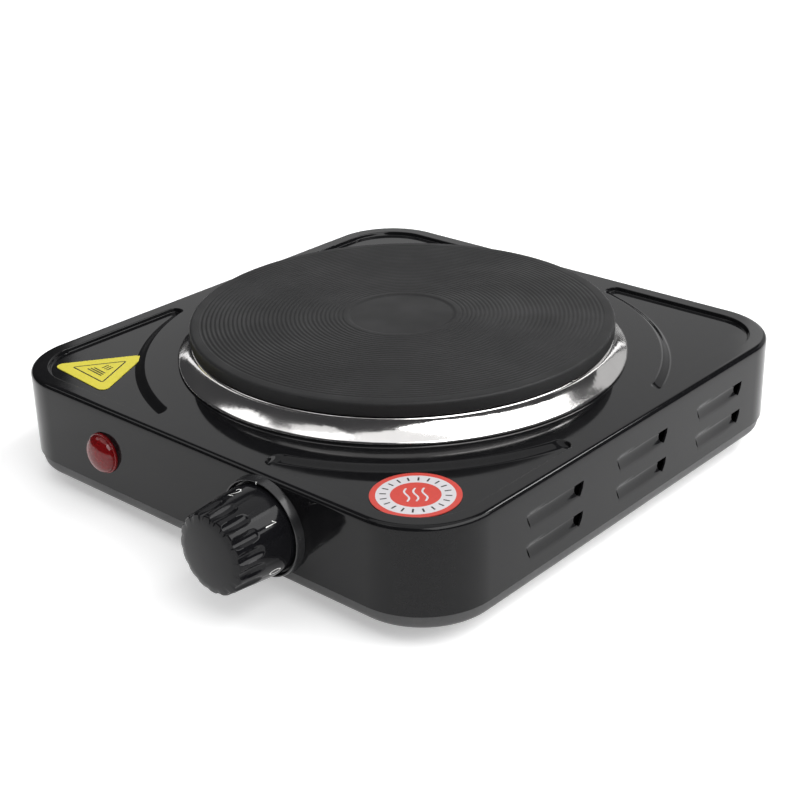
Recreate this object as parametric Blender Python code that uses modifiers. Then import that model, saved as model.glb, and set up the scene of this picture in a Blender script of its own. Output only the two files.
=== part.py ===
"""Hot plate burner: a single electric cooking plate on a square enamelled body.

Metres, +Z up. The control knob faces -Y. The origin is at the bottom centre of the whole object.
"""

import math

import bmesh
import bpy
from mathutils import Matrix, Vector

MM = 0.001

# Body
BODY_WIDTH = 206 * MM
BODY_DEPTH = 209.5 * MM
BODY_TOP = 36.2 * MM  # heights in the body are counted from the underside of the base pan
CORNER_RADIUS = 27 * MM
TOP_EDGE = 1.8 * MM
SHEET = 0.8 * MM
GAP = 0.3 * MM  # left between pieces that touch
CLEARANCE = 0.3 * MM  # a screw or a neck in its hole, all round

# Pressed corner panels of the top
PANEL_DROP = 1.5 * MM
PANEL_RIM = 6.2 * MM
PANEL_SLOPE = 1.0 * MM
PANEL_ARC_SLOPE = 3.9 * MM
PANEL_COLLAR = 11.9 * MM  # from the trim ring out to the panels
PANEL_END = 26 * MM
PANEL_END_ROUND = 3.4 * MM

# Vents in both side walls
LOUVRE_LENGTH = 30 * MM
LOUVRE_HEIGHT = 5 * MM
LOUVRE_DEPTH = 1.6 * MM
LOUVRE_END = 4.5 * MM  # how far the strip's end lies back from the slot's end where it is deepest
LOUVRE_PITCH = 49 * MM
LOUVRE_ROWS = (13.2 * MM, 24.2 * MM)
LOUVRE_MIDDLE_Y = 4 * MM

# Base pan
SEAM = 5.3 * MM
PAN_LIP = 9.6 * MM
PAN_EDGE = 2.2 * MM
PAN_SLOT_START = 16 * MM  # from the middle of the body
PAN_SLOT_LENGTH = 46 * MM
PAN_SLOT_WIDTH = 4 * MM
PAN_SLOT_PITCH = 16 * MM
PAN_SLOTS = 6

# Feet, posts and their screws
FOOT_HEIGHT = 7 * MM
FOOT_RADIUS = 8 * MM
FOOT_INSET = 30 * MM
FOOT_RECESS = 3.4 * MM
SCREW_RADIUS = 1.7 * MM
SCREW_HEAD_RADIUS = 3.6 * MM
SCREW_HEAD = 2 * MM
SCREW_REACH = 12 * MM
POST_FLATS = 7 * MM

# Hot plate and trim ring
PLATE_DIAMETER = 155 * MM
PLATE_RISE = 13 * MM  # above the top of the body
PLATE_RIM = 5.1 * MM
PLATE_OVERHANG = 5.5 * MM
PLATE_SKIRT_WALL = 4 * MM
PLATE_CENTRE_DIAMETER = 40 * MM
PLATE_CENTRE_DROP = 0.4 * MM
PLATE_BOSS_RADIUS = 12 * MM
RING_FLARE = 4.8 * MM  # beyond the edge of the plate
RING_SHEET = 0.7 * MM
OPENING_CLEARANCE = 1.5 * MM

# Heating element under the plate
ELEMENT_RADIUS = 3.2 * MM
ELEMENT_FROM_SKIRT = 10 * MM
ELEMENT_BAND = 20 * MM  # from the outer turn to the inner end
ELEMENT_TURNS = 1.46
ELEMENT_START = math.radians(-70)
ELEMENT_TAIL = 6.3 * MM  # its ends hang this far below the skirt of the plate
PIN_RADIUS = 1.3 * MM
PIN_LENGTH = 8.7 * MM
BEAD_LENGTH = 2.6 * MM
INSULATION = 0.5 * MM
BEND_ROOM = 1.9 * MM  # room round a bend of the element in the insulation
COVER_SHEET = 0.6 * MM

# What clamps the plate down
STUD_RADIUS = 2.9 * MM
STUD_PAST_NUT = 2.2 * MM
BRIDGE_WIDTH = 16 * MM
BRIDGE_OVERLAP = 11 * MM
BRIDGE_THICKNESS = 2 * MM
WASHER = 0.8 * MM
NUT_HEIGHT = 4.9 * MM
NUT_FLATS = 10 * MM
SHIELD_FROM_SKIRT = 4 * MM
SHIELD_RIM = 4 * MM

# Knob and its spindle; h is counted outwards from the front wall
KNOB_X = 34 * MM
KNOB_Z = 18.8 * MM
KNOB_REACH = 25.5 * MM
KNOB_BACK = 2 * MM
KNOB_BACK_RADIUS = 15.3 * MM
KNOB_FRONT_RADIUS = 13.8 * MM
KNOB_SKIRT = ((14.5 * MM, 15 * MM), (15.1 * MM, 8 * MM))  # radius and h between its two ends
KNOB_WALL = 2.2 * MM
KNOB_CROWN = 2.2 * MM  # the front edge stands this far behind the middle of the domed face
KNOB_FLUTES = 16
FLUTE_RADIUS = 2.6 * MM
FLUTE_BITE = 1.1 * MM
FLUTE_LENGTH = 11 * MM
HUB_RADIUS = 5.6 * MM
SPINDLE_RADIUS = 3 * MM
SPINDLE_OUT = 17.5 * MM
SPINDLE_IN = 21 * MM
SPINDLE_FLAT = 0.8 * MM
RUNNING_CLEARANCE = 0.2 * MM
BEZEL_RADIUS = 17.2 * MM
BEZEL_HEIGHT = 3.2 * MM
BEZEL_FLOOR = 1 * MM
BUSH_RADIUS = 4.7 * MM
BUSH_FLANGE_RADIUS = 7.5 * MM
BUSH_FLANGE = 2 * MM
BUSH_INSIDE = 8.5 * MM  # how far it goes in behind the front wall
BUSH_NUT = 1.9 * MM
BUSH_NUT_FLATS = 11.1 * MM

# Thermostat
CAM_RADIUS = 5 * MM
CAM_LIFT_PER_TURN = 2.57 * MM
CAM_WIDTH = 6 * MM
CAM_DEPTH = 15 * MM  # middle of the cam behind the front wall
CAM_CLEARANCE = 0.35 * MM
ARM_LEVER = 16 * MM
CONTACT_LEVER = 30 * MM
BLADE_WIDTH = 8 * MM
BLADE = 0.6 * MM
BIMETAL = 0.8 * MM
SPACER_RADIUS = 3.2 * MM
SPACER_MIDDLE = 3.3 * MM
SPACER_LOW = 2 * MM
SPACER_TOP = 1.2 * MM
ARM_PLAY = 0.4 * MM
TAB_LENGTH = 14 * MM
RIVET_RADIUS = 1.3 * MM
CONTACT_RADIUS = 2 * MM
CONTACT = 0.8 * MM
BRACKET_SHEET = 1.2 * MM
BRACKET_REACH = 32 * MM

# Pilot lamp
PILOT_X = -46.5 * MM
PILOT_Z = 18.9 * MM
LENS_RADIUS = 7.4 * MM
LENS_DOME = 4.4 * MM
LENS_NECK = 5.6 * MM
LENS_NECK_LENGTH = 13 * MM
LENS_WALL = 1 * MM
LAMP_RADIUS = 2.6 * MM
LAMP_PAST_NECK = 2 * MM

# Cord gland, terminal block and earth point
GLAND_X = -52 * MM
GLAND_Z = 20 * MM
GLAND_REACH = 2.6 * MM
GLAND_FLANGE = 9 * MM
GLAND_NECK = 6.2 * MM
GLAND_BORE = 4.3 * MM
BLOCK_SIZE = (22 * MM, 14 * MM, 13 * MM)
BLOCK_AT = (-52 * MM, 74 * MM)
BLOCK_POLES = (-5.5 * MM, 5.5 * MM)
TERMINAL_SCREW_RADIUS = 2.2 * MM
WELL_DEPTH = 4 * MM
EARTH_AT = (-22 * MM, 72 * MM)
LEAD_RADIUS = 1 * MM

# Labels
ROUND_LABEL_RADIUS = 14.3 * MM
ROUND_LABEL_IN = (25.6 * MM, 22.45 * MM)  # from the right and front walls
TRIANGLE_SIDE = 34.3 * MM
TRIANGLE_CORNER = 2.5 * MM
TRIANGLE_TURN = -0.1  # radians, out of square with the body
TRIANGLE_IN = (30.3 * MM, 19.35 * MM)  # from the left and front walls
LABEL = 0.2 * MM

FRONT = -BODY_DEPTH / 2
BACK = BODY_DEPTH / 2
BODY_Y = (KNOB_REACH - GLAND_REACH) / 2  # puts the origin under the middle of the whole object
PAN_INSET = SHEET + GAP
PAN_FLOOR = SHEET
PLATE_RADIUS = PLATE_DIAMETER / 2
PLATE_TOP = BODY_TOP + PLATE_RISE
PLATE_SKIRT_RADIUS = PLATE_RADIUS - PLATE_OVERHANG
RING_RADIUS = PLATE_RADIUS + RING_FLARE
PANEL_ARC = RING_RADIUS + PANEL_COLLAR
PLATE_SEAT = PLATE_TOP - PLATE_RIM
UNDER_TOP = BODY_TOP - SHEET
SKIRT_END = BODY_TOP + 0.1 * MM
WEB_UNDERSIDE = PLATE_SEAT - 0.1 * MM
ELEMENT_OUTER = PLATE_SKIRT_RADIUS - PLATE_SKIRT_WALL - ELEMENT_FROM_SKIRT
ELEMENT_INNER = ELEMENT_OUTER - ELEMENT_BAND
TAIL_END = SKIRT_END - ELEMENT_TAIL
PIN_END = TAIL_END - GAP - PIN_LENGTH
SHIELD_RADIUS = PLATE_SKIRT_RADIUS - SHIELD_FROM_SKIRT
OUTWARDS_FRONT = (math.pi / 2, 0, 0)
OUTWARDS_BACK = (-math.pi / 2, 0, 0)

# Base colour, roughness and metallic value of each finish
FINISHES = {
    "black_enamel": ((0.018, 0.018, 0.02), 0.22, 0.0),
    "pan_paint": ((0.05, 0.05, 0.053), 0.5, 0.0),
    "cast_iron": ((0.045, 0.045, 0.047), 0.6, 0.6),
    "bright_steel": ((0.86, 0.86, 0.87), 0.08, 1.0),
    "shield_steel": ((0.7, 0.7, 0.71), 0.25, 1.0),
    "zinc_steel": ((0.62, 0.63, 0.65), 0.32, 1.0),
    "spring_steel": ((0.5, 0.49, 0.47), 0.3, 1.0),
    "brass": ((0.72, 0.53, 0.24), 0.3, 1.0),
    "black_gloss_plastic": ((0.012, 0.012, 0.013), 0.15, 0.0),
    "red_lens": ((0.65, 0.02, 0.02), 0.1, 0.0),
    "lamp_glass": ((0.95, 0.8, 0.7), 0.05, 0.0),
    "rubber": ((0.02, 0.02, 0.02), 0.85, 0.0),
    "ceramic": ((0.82, 0.8, 0.74), 0.5, 0.0),
    "insulation": ((0.7, 0.67, 0.6), 0.9, 0.0),
    "element_sheath": ((0.14, 0.13, 0.12), 0.55, 0.8),
    "block_plastic": ((0.75, 0.74, 0.7), 0.45, 0.0),
    "lead_red": ((0.35, 0.03, 0.02), 0.5, 0.0),
    "lead_blue": ((0.02, 0.09, 0.35), 0.5, 0.0),
    "label_red": ((0.7, 0.03, 0.03), 0.4, 0.0),
    "label_yellow": ((0.9, 0.72, 0.02), 0.4, 0.0),
}


def clear_scene():
    for old in list(bpy.data.objects):
        bpy.data.objects.remove(old, do_unlink=True)


def new_collection(name):
    made = bpy.data.collections.new(name)
    bpy.context.scene.collection.children.link(made)
    return made


def finish(name):
    if name in bpy.data.materials:
        return bpy.data.materials[name]
    colour, roughness, metallic = FINISHES[name]
    made = bpy.data.materials.new(name)
    made.use_nodes = True
    shader = made.node_tree.nodes["Principled BSDF"]
    shader.inputs["Base Color"].default_value = (*colour, 1)
    shader.inputs["Roughness"].default_value = roughness
    shader.inputs["Metallic"].default_value = metallic
    return made


clear_scene()
PARTS = new_collection("hot_plate_burner")
CUTTERS = new_collection("cutters")
CUTTERS.hide_render = True


def pivot(name, location, rotation=(0, 0, 0), parent=None):
    made = bpy.data.objects.new(name, None)
    made.location = location
    made.rotation_euler = rotation
    made.parent = parent
    made.empty_display_size = 5 * MM
    PARTS.objects.link(made)
    return made


BODY = pivot("body_frame", (0, BODY_Y, FOOT_HEIGHT))


def add_part(name, data, look, location=(0, 0, 0), rotation=(0, 0, 0), parent=None):
    made = bpy.data.objects.new(name, data)
    data.materials.append(finish(look))
    made.location = location
    made.rotation_euler = rotation
    made.parent = parent or BODY
    PARTS.objects.link(made)
    return made


def add_cutter(name, data, location=(0, 0, 0), rotation=(0, 0, 0)):
    made = bpy.data.objects.new(name, data)
    made.location = location
    made.rotation_euler = rotation
    made.parent = BODY
    made.hide_render = True
    made.display_type = "WIRE"
    CUTTERS.objects.link(made)
    return made


def combine(target, other, operation="DIFFERENCE"):
    boolean = target.modifiers.new(other.name, "BOOLEAN")
    boolean.operation = operation
    boolean.solver = "EXACT"
    boolean.object = other


def mesh_from(name, bm):
    bmesh.ops.recalc_face_normals(bm, faces=bm.faces)
    mesh = bpy.data.meshes.new(name)
    bm.to_mesh(mesh)
    bm.free()
    mesh.shade_smooth()
    mesh.set_sharp_from_angle(angle=math.radians(35))
    return mesh


def box_mesh(name, low, high):
    low, high = Vector(low), Vector(high)
    bm = bmesh.new()
    place = Matrix.Translation((low + high) / 2) @ Matrix.Diagonal((*(high - low), 1))
    bmesh.ops.create_cube(bm, size=1, matrix=place)
    return mesh_from(name, bm)


def cylinder_mesh(name, radius, low, high, sides=24, end_radius=None, at=(0, 0)):
    """A cylinder, cone or (with few sides) a hexagonal bar along Z."""
    bm = bmesh.new()
    place = Matrix.Translation((at[0], at[1], (low + high) / 2))
    bmesh.ops.create_cone(
        bm, cap_ends=True, segments=sides, radius1=radius, depth=high - low, matrix=place,
        radius2=radius if end_radius is None else end_radius,
    )
    return mesh_from(name, bm)


def prism_mesh(name, outlines, direction):
    """Closed outlines, each a list of 3-D points, swept along a direction."""
    bm = bmesh.new()
    for outline in outlines:
        face = bm.faces.new([bm.verts.new(point) for point in outline])
        swept = bmesh.ops.extrude_face_region(bm, geom=[face])["geom"]
        moved = [item for item in swept if isinstance(item, bmesh.types.BMVert)]
        bmesh.ops.translate(bm, vec=direction, verts=moved)
    return mesh_from(name, bm)


def turned(name, profile, look, steps=32, closed=True, **placing):
    """A turned piece. The profile, as (radius, height), runs down its outer side."""
    mesh = bpy.data.meshes.new(name)
    count = len(profile)
    edges = [(i, i + 1) for i in range(count - 1)]
    if closed:
        edges.append((count - 1, 0))
    mesh.from_pydata([(radius, 0, height) for radius, height in profile], edges, [])
    made = add_part(name, mesh, look, **placing)
    screw = made.modifiers.new("turn", "SCREW")
    screw.steps = screw.render_steps = steps
    screw.use_merge_vertices = True
    screw.merge_threshold = 0.00001
    screw.use_smooth_shade = True
    return made


def ring(name, inner, outer, low, high, look, steps=24, **placing):
    profile = [(inner, high), (outer, high), (outer, low), (inner, low)]
    return turned(name, profile, look, steps, **placing)


def circle(radius, count=20, at=(0, 0)):
    angles = [2 * math.pi * i / count for i in range(count)]
    return [(at[0] + radius * math.cos(a), at[1] + radius * math.sin(a)) for a in angles]


def flat(name, loops, thickness, look, **placing):
    """A flat piece: the first loop is its outline, the others its holes."""
    curve = bpy.data.curves.new(name, "CURVE")
    curve.dimensions = "2D"
    curve.fill_mode = "BOTH"
    curve.extrude = thickness / 2
    for loop in loops:
        spline = curve.splines.new("POLY")
        spline.points.add(len(loop) - 1)
        for point, (x, y) in zip(spline.points, loop):
            point.co = (x, y, 0, 1)
        spline.use_cyclic_u = True
    return add_part(name, curve, look, **placing)


def smooth_route(points, steps):
    """Points on a Catmull-Rom curve through the given ones."""
    knots = [Vector(p) for p in points]
    knots = [2 * knots[0] - knots[1], *knots, 2 * knots[-1] - knots[-2]]
    route = []
    for a, b, c, d in zip(knots, knots[1:], knots[2:], knots[3:]):
        for i in range(steps):
            t = i / steps
            route.append(
                0.5 * (2 * b + (c - a) * t + (2 * a - 5 * b + 4 * c - d) * t**2
                       + (3 * b - a - 3 * c + d) * t**3)
            )
    return [*route, knots[-2]]


def tube(name, route, radius, look, **placing):
    curve = bpy.data.curves.new(name, "CURVE")
    curve.dimensions = "3D"
    curve.bevel_depth = radius
    curve.bevel_resolution = 2
    curve.use_fill_caps = True
    spline = curve.splines.new("POLY")
    spline.points.add(len(route) - 1)
    for point, place in zip(spline.points, route):
        point.co = (*place, 1)
    return add_part(name, curve, look, **placing)


def rounded_block(name, inset, low, high, top_edge=0, bottom_edge=0):
    """The body's rounded square, inset all round, between two heights."""
    bm = bmesh.new()
    size = (BODY_WIDTH - 2 * inset, BODY_DEPTH - 2 * inset, high - low)
    place = Matrix.Translation((0, 0, (low + high) / 2)) @ Matrix.Diagonal((*size, 1))
    bmesh.ops.create_cube(bm, size=1, matrix=place)

    def round_off(edges, radius, segments):
        bmesh.ops.bevel(bm, geom=edges, offset=radius, segments=segments, profile=0.5, affect="EDGES")

    upright = [e for e in bm.edges if abs(e.verts[0].co.z - e.verts[1].co.z) > high - low - MM]
    round_off(upright, CORNER_RADIUS - inset, 8)
    for level, rounding in ((high, top_edge), (low, bottom_edge)):
        if rounding:
            loop = [e for e in bm.edges if all(abs(v.co.z - level) < 0.01 * MM for v in e.verts)]
            round_off(loop, rounding, 3)
    return mesh_from(name, bm)


def panel_outline(shrink, arc_shrink):
    """Outline of one corner panel in the +X +Y quarter: two straight sides, an arc and two round ends."""
    reach_x = BODY_WIDTH / 2 - PANEL_RIM - shrink
    reach_y = BODY_DEPTH / 2 - PANEL_RIM - shrink
    corner = CORNER_RADIUS - PANEL_RIM - shrink
    arc = PANEL_ARC + arc_shrink
    tip = PANEL_END + PANEL_END_ROUND
    points = []

    def round_end(reach, turned_over):
        near = math.sqrt(arc**2 - tip**2)
        middle, half = (reach + near) / 2, (reach - near) / 2
        bulge = PANEL_END_ROUND - shrink
        ends = [math.pi * i / 6 - math.pi / 2 for i in range(7)]
        made = [(tip - bulge * math.cos(a), middle + half * math.sin(a)) for a in ends]
        return [(y, x) for x, y in reversed(made)] if turned_over else made

    points += round_end(reach_y, False)
    for i in range(9):
        a = math.pi / 2 - math.pi / 2 * i / 8
        points.append((reach_x - corner * (1 - math.cos(a)), reach_y - corner * (1 - math.sin(a))))
    points += round_end(reach_x, True)
    start = math.asin(tip / arc)
    sweep = math.pi / 2 - 2 * start
    along = [start + sweep * i / 14 for i in range(1, 14)]
    points += [(arc * math.cos(a), arc * math.sin(a)) for a in along]
    return points


def panel_cutter(name, inset, top):
    """All four panels, tapered, as a cutter for a block whose top is at that height."""
    bm = bmesh.new()
    above = 0.5 * MM
    spread = above / PANEL_DROP
    levels = (
        (top + above, panel_outline(-inset - PANEL_SLOPE * spread, -inset - PANEL_ARC_SLOPE * spread)),
        (top - PANEL_DROP, panel_outline(PANEL_SLOPE - inset, PANEL_ARC_SLOPE - inset)),
    )
    for side_x in (-1, 1):
        for side_y in (-1, 1):
            loops = [
                [bm.verts.new((side_x * x, side_y * y, z)) for x, y in outline] for z, outline in levels
            ]
            bm.faces.new(loops[0])
            bm.faces.new(loops[1])
            for i, corner in enumerate(loops[0]):
                bm.faces.new((corner, loops[0][i - 1], loops[1][i - 1], loops[1][i]))
    return add_cutter(name, mesh_from(name, bm))


def louvre_places():
    for side in (-1, 1):
        for place in (-1, 0, 1):
            for height in LOUVRE_ROWS:
                yield side, LOUVRE_MIDDLE_Y + place * LOUVRE_PITCH - LOUVRE_LENGTH / 2, height


def louvre_slots():
    half = LOUVRE_HEIGHT / 2 - 0.1 * MM
    outlines = []
    for side, y, z in louvre_places():
        inside, outside = side * (BODY_WIDTH / 2 - 2 * SHEET), side * (BODY_WIDTH / 2 + SHEET)
        low, high = z - half, z + half
        outlines.append([(inside, y, low), (outside, y, low), (outside, y, high), (inside, y, high)])
    return add_cutter("louvre_slots", prism_mesh("louvre_slots", outlines, (0, LOUVRE_LENGTH, 0)))


def louvre_troughs():
    """The strips pressed inwards. Their long edges end inside the wall's thickness."""
    half_round = [math.pi * i / 8 for i in range(9)]
    wall = BODY_WIDTH / 2
    strips = (
        (wall - SHEET / 4, LOUVRE_DEPTH, LOUVRE_HEIGHT / 2, half_round),
        (wall - 3 * SHEET / 4, LOUVRE_DEPTH + SHEET / 2, (LOUVRE_HEIGHT + SHEET) / 2, half_round[::-1]),
    )
    bm = bmesh.new()
    for side, y, z in louvre_places():
        near, far = (
            [
                bm.verts.new((
                    side * (edge - depth * math.sin(a)), end + back * math.sin(a)**2, z + half * math.cos(a)
                ))
                for edge, depth, half, arc in strips
                for a in arc
            ]
            for end, back in ((y, LOUVRE_END), (y + LOUVRE_LENGTH, -LOUVRE_END))
        )
        count = len(near)
        for i in range(count):
            bm.faces.new((near[i], near[i - 1], far[i - 1], far[i]))
        for end in (near, far):
            for i in range(count // 2 - 1):
                bm.faces.new((end[i], end[i + 1], end[count - 2 - i], end[count - 1 - i]))
    return add_cutter("louvre_troughs", mesh_from("louvre_troughs", bm))


def hole_through_wall(name, x, z, radius, wall_y):
    mesh = cylinder_mesh(name, radius, -4 * MM, 4 * MM)
    return add_cutter(name, mesh, (x, wall_y, z), OUTWARDS_FRONT)


def build_housing():
    housing = add_part("housing", rounded_block("housing", 0, SEAM, BODY_TOP, TOP_EDGE), "black_enamel")
    combine(housing, panel_cutter("panels_outside", 0, BODY_TOP))
    inside_mesh = rounded_block("housing_inside", SHEET, SEAM - 5 * MM, UNDER_TOP, TOP_EDGE)
    inside = add_cutter("housing_inside", inside_mesh)
    combine(inside, panel_cutter("panels_inside", SHEET, UNDER_TOP))
    combine(housing, inside)
    opening_radius = PLATE_SKIRT_RADIUS + OPENING_CLEARANCE
    opening = cylinder_mesh("opening", opening_radius, BODY_TOP - 5 * MM, BODY_TOP + 5 * MM, 48)
    combine(housing, add_cutter("opening", opening))
    combine(housing, hole_through_wall("bush_hole", KNOB_X, KNOB_Z, BUSH_RADIUS + CLEARANCE, FRONT))
    combine(housing, hole_through_wall("lens_hole", PILOT_X, PILOT_Z, LENS_NECK + CLEARANCE, FRONT))
    combine(housing, hole_through_wall("gland_hole", GLAND_X, GLAND_Z, GLAND_NECK + CLEARANCE, BACK))
    combine(housing, louvre_slots())
    combine(housing, louvre_troughs(), "UNION")


def foot_places():
    reach_x, reach_y = BODY_WIDTH / 2 - FOOT_INSET, BODY_DEPTH / 2 - FOOT_INSET
    return [(x * reach_x, y * reach_y) for x in (-1, 1) for y in (-1, 1)]


def pan_slots():
    """Two columns of vent slots across the floor of the pan."""
    low = -2 * MM
    outlines = []
    for side in (-1, 1):
        near, far = side * PAN_SLOT_START, side * (PAN_SLOT_START + PAN_SLOT_LENGTH)
        for i in range(PAN_SLOTS):
            middle = (i - (PAN_SLOTS - 1) / 2) * PAN_SLOT_PITCH
            front, back = middle - PAN_SLOT_WIDTH / 2, middle + PAN_SLOT_WIDTH / 2
            outlines.append([(near, front, low), (far, front, low), (far, back, low), (near, back, low)])
    return add_cutter("pan_slots", prism_mesh("pan_slots", outlines, (0, 0, 5 * MM)))


def build_base_pan():
    outside = rounded_block("base_pan", PAN_INSET, 0, PAN_LIP, bottom_edge=PAN_EDGE)
    pan = add_part("base_pan", outside, "pan_paint")
    inner_edge = PAN_EDGE - SHEET
    inside = rounded_block("pan_inside", PAN_INSET + SHEET, SHEET, PAN_LIP + 5 * MM, bottom_edge=inner_edge)
    combine(pan, add_cutter("pan_inside", inside))
    combine(pan, pan_slots())
    for i, (x, y) in enumerate([*foot_places(), EARTH_AT], 1):
        hole = cylinder_mesh(f"pan_hole_{i}", SCREW_RADIUS + CLEARANCE, -2 * MM, 4 * MM, 12)
        combine(pan, add_cutter(f"pan_hole_{i}", hole, (x, y, 0)))


def turned_screw(name, head_top, head, tip, radius, head_radius, look="zinc_steel", **placing):
    """A screw with its head up (head > 0) or down (head < 0), along Z."""
    under = head_top - head
    profile = [(0, head_top), (head_radius * 0.7, head_top), (head_radius, (head_top + under) / 2),
               (head_radius, under), (radius, under), (radius, tip), (0, tip)]
    if head < 0:
        profile.reverse()
    return turned(name, profile, look, 12, closed=False, **placing)


def build_feet_and_posts():
    for i, (x, y) in enumerate(foot_places(), 1):
        hole = SCREW_RADIUS + CLEARANCE
        recess = SCREW_HEAD_RADIUS + 2 * CLEARANCE
        seat = FOOT_RECESS - FOOT_HEIGHT
        foot = [(hole, -GAP), (FOOT_RADIUS, -GAP), (FOOT_RADIUS * 0.9, -FOOT_HEIGHT),
                (recess, -FOOT_HEIGHT), (recess, seat), (hole, seat)]
        turned(f"foot_{i}", foot, "rubber", 20, location=(x, y, 0))
        post_low = PAN_FLOOR + GAP
        post_high = UNDER_TOP - PANEL_DROP - GAP
        post_mesh = cylinder_mesh(f"corner_post_{i}", POST_FLATS / math.sqrt(3), post_low, post_high, 6)
        post = add_part(f"corner_post_{i}", post_mesh, "zinc_steel", location=(x, y, 0))
        thread = cylinder_mesh(f"post_thread_{i}", hole, post_low - MM, SCREW_REACH + MM, 12)
        combine(post, add_cutter(f"post_thread_{i}", thread, (x, y, 0)))
        head_end = seat - GAP - SCREW_HEAD
        turned_screw(
            f"base_screw_{i}", head_end, -SCREW_HEAD, SCREW_REACH, SCREW_RADIUS, SCREW_HEAD_RADIUS,
            location=(x, y, 0),
        )


def build_hot_plate():
    inner = PLATE_SKIRT_RADIUS - PLATE_SKIRT_WALL
    centre = PLATE_CENTRE_DIAMETER / 2
    bore = STUD_RADIUS + CLEARANCE
    profile = [
        (0, PLATE_TOP - PLATE_CENTRE_DROP),
        (centre - 2 * PLATE_CENTRE_DROP, PLATE_TOP - PLATE_CENTRE_DROP),
        (centre, PLATE_TOP), (PLATE_RADIUS - MM, PLATE_TOP), (PLATE_RADIUS, PLATE_TOP - MM),
        (PLATE_RADIUS, PLATE_SEAT), (PLATE_SKIRT_RADIUS, PLATE_SEAT), (PLATE_SKIRT_RADIUS, SKIRT_END),
        (inner, SKIRT_END), (inner, WEB_UNDERSIDE), (PLATE_BOSS_RADIUS, WEB_UNDERSIDE),
        (PLATE_BOSS_RADIUS, SKIRT_END), (bore, SKIRT_END), (bore, WEB_UNDERSIDE + MM),
        (0, WEB_UNDERSIDE + MM),
    ]
    turned("hot_plate", profile, "cast_iron", 56, closed=False)


def build_trim_ring():
    top = PLATE_SEAT - GAP
    foot = BODY_TOP + GAP
    height = top - foot
    outside = [(PLATE_SKIRT_RADIUS + 2 * MM, top), (PLATE_RADIUS - 0.4 * MM, top)]
    for t in (0.15, 0.4, 0.7, 1):
        outside.append((PLATE_RADIUS + RING_FLARE * t**1.4, top - height * (0.06 + 0.94 * t)))
    inside = [(radius - RING_SHEET, max(z - RING_SHEET / 2, foot)) for radius, z in reversed(outside[2:])]
    inside += [(PLATE_RADIUS - MM, top - RING_SHEET), (PLATE_SKIRT_RADIUS + 2 * MM, top - RING_SHEET)]
    turned("trim_ring", outside + inside, "bright_steel", 56)


def element_route():
    """A flat spiral whose two ends turn down."""
    level = WEB_UNDERSIDE - ELEMENT_RADIUS - 0.3 * MM
    steps = 30
    spiral = []
    for i in range(steps + 1):
        angle = ELEMENT_START + ELEMENT_TURNS * 2 * math.pi * i / steps
        radius = ELEMENT_OUTER + (ELEMENT_INNER - ELEMENT_OUTER) * i / steps
        spiral.append(Vector((radius * math.cos(angle), radius * math.sin(angle), level)))

    def tail(end, inner):
        away = (end - inner).normalized() * 4 * MM
        foot = end + 2 * away
        return [end + away * 1.4 - Vector((0, 0, 0.9 * MM)), Vector((foot.x, foot.y, level - 3 * MM)),
                Vector((foot.x, foot.y, TAIL_END))]

    start, end = tail(spiral[0], spiral[1]), tail(spiral[-1], spiral[-2])
    return [*reversed(start), *spiral, *end]


def build_element():
    route = element_route()
    tube("heating_element", route, ELEMENT_RADIUS, "element_sheath")
    tails = [(route[0].x, route[0].y), (route[-1].x, route[-1].y)]
    tail_holes = [circle(ELEMENT_RADIUS + 2 * CLEARANCE, 14, tail) for tail in tails]
    bend_holes = [circle(ELEMENT_RADIUS + BEND_ROOM, 14, tail) for tail in tails]
    disc_top = SKIRT_END + INSULATION
    disc_edge = PLATE_SKIRT_RADIUS - PLATE_SKIRT_WALL - 2 * CLEARANCE
    boss_hole = circle(PLATE_BOSS_RADIUS + CLEARANCE, 20)
    flat("insulation_disc", [circle(disc_edge, 40), boss_hole, *bend_holes],
         INSULATION, "insulation", location=(0, 0, disc_top - INSULATION / 2))
    cover_top = SKIRT_END - GAP
    stud_hole = circle(STUD_RADIUS + CLEARANCE, 14)
    flat("element_cover", [circle(PLATE_SKIRT_RADIUS - MM, 40), stud_hole, *tail_holes],
         COVER_SHEET, "zinc_steel", location=(0, 0, cover_top - COVER_SHEET / 2))
    bead_top = TAIL_END - GAP
    for i, (x, y) in enumerate(tails, 1):
        ring(f"terminal_bead_{i}", PIN_RADIUS + CLEARANCE, ELEMENT_RADIUS, bead_top - BEAD_LENGTH, bead_top,
             "ceramic", 14, location=(x, y, 0))
        pin = cylinder_mesh(f"terminal_pin_{i}", PIN_RADIUS, PIN_END, bead_top, 10)
        add_part(f"terminal_pin_{i}", pin, "zinc_steel", location=(x, y, 0))
    return tails


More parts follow.
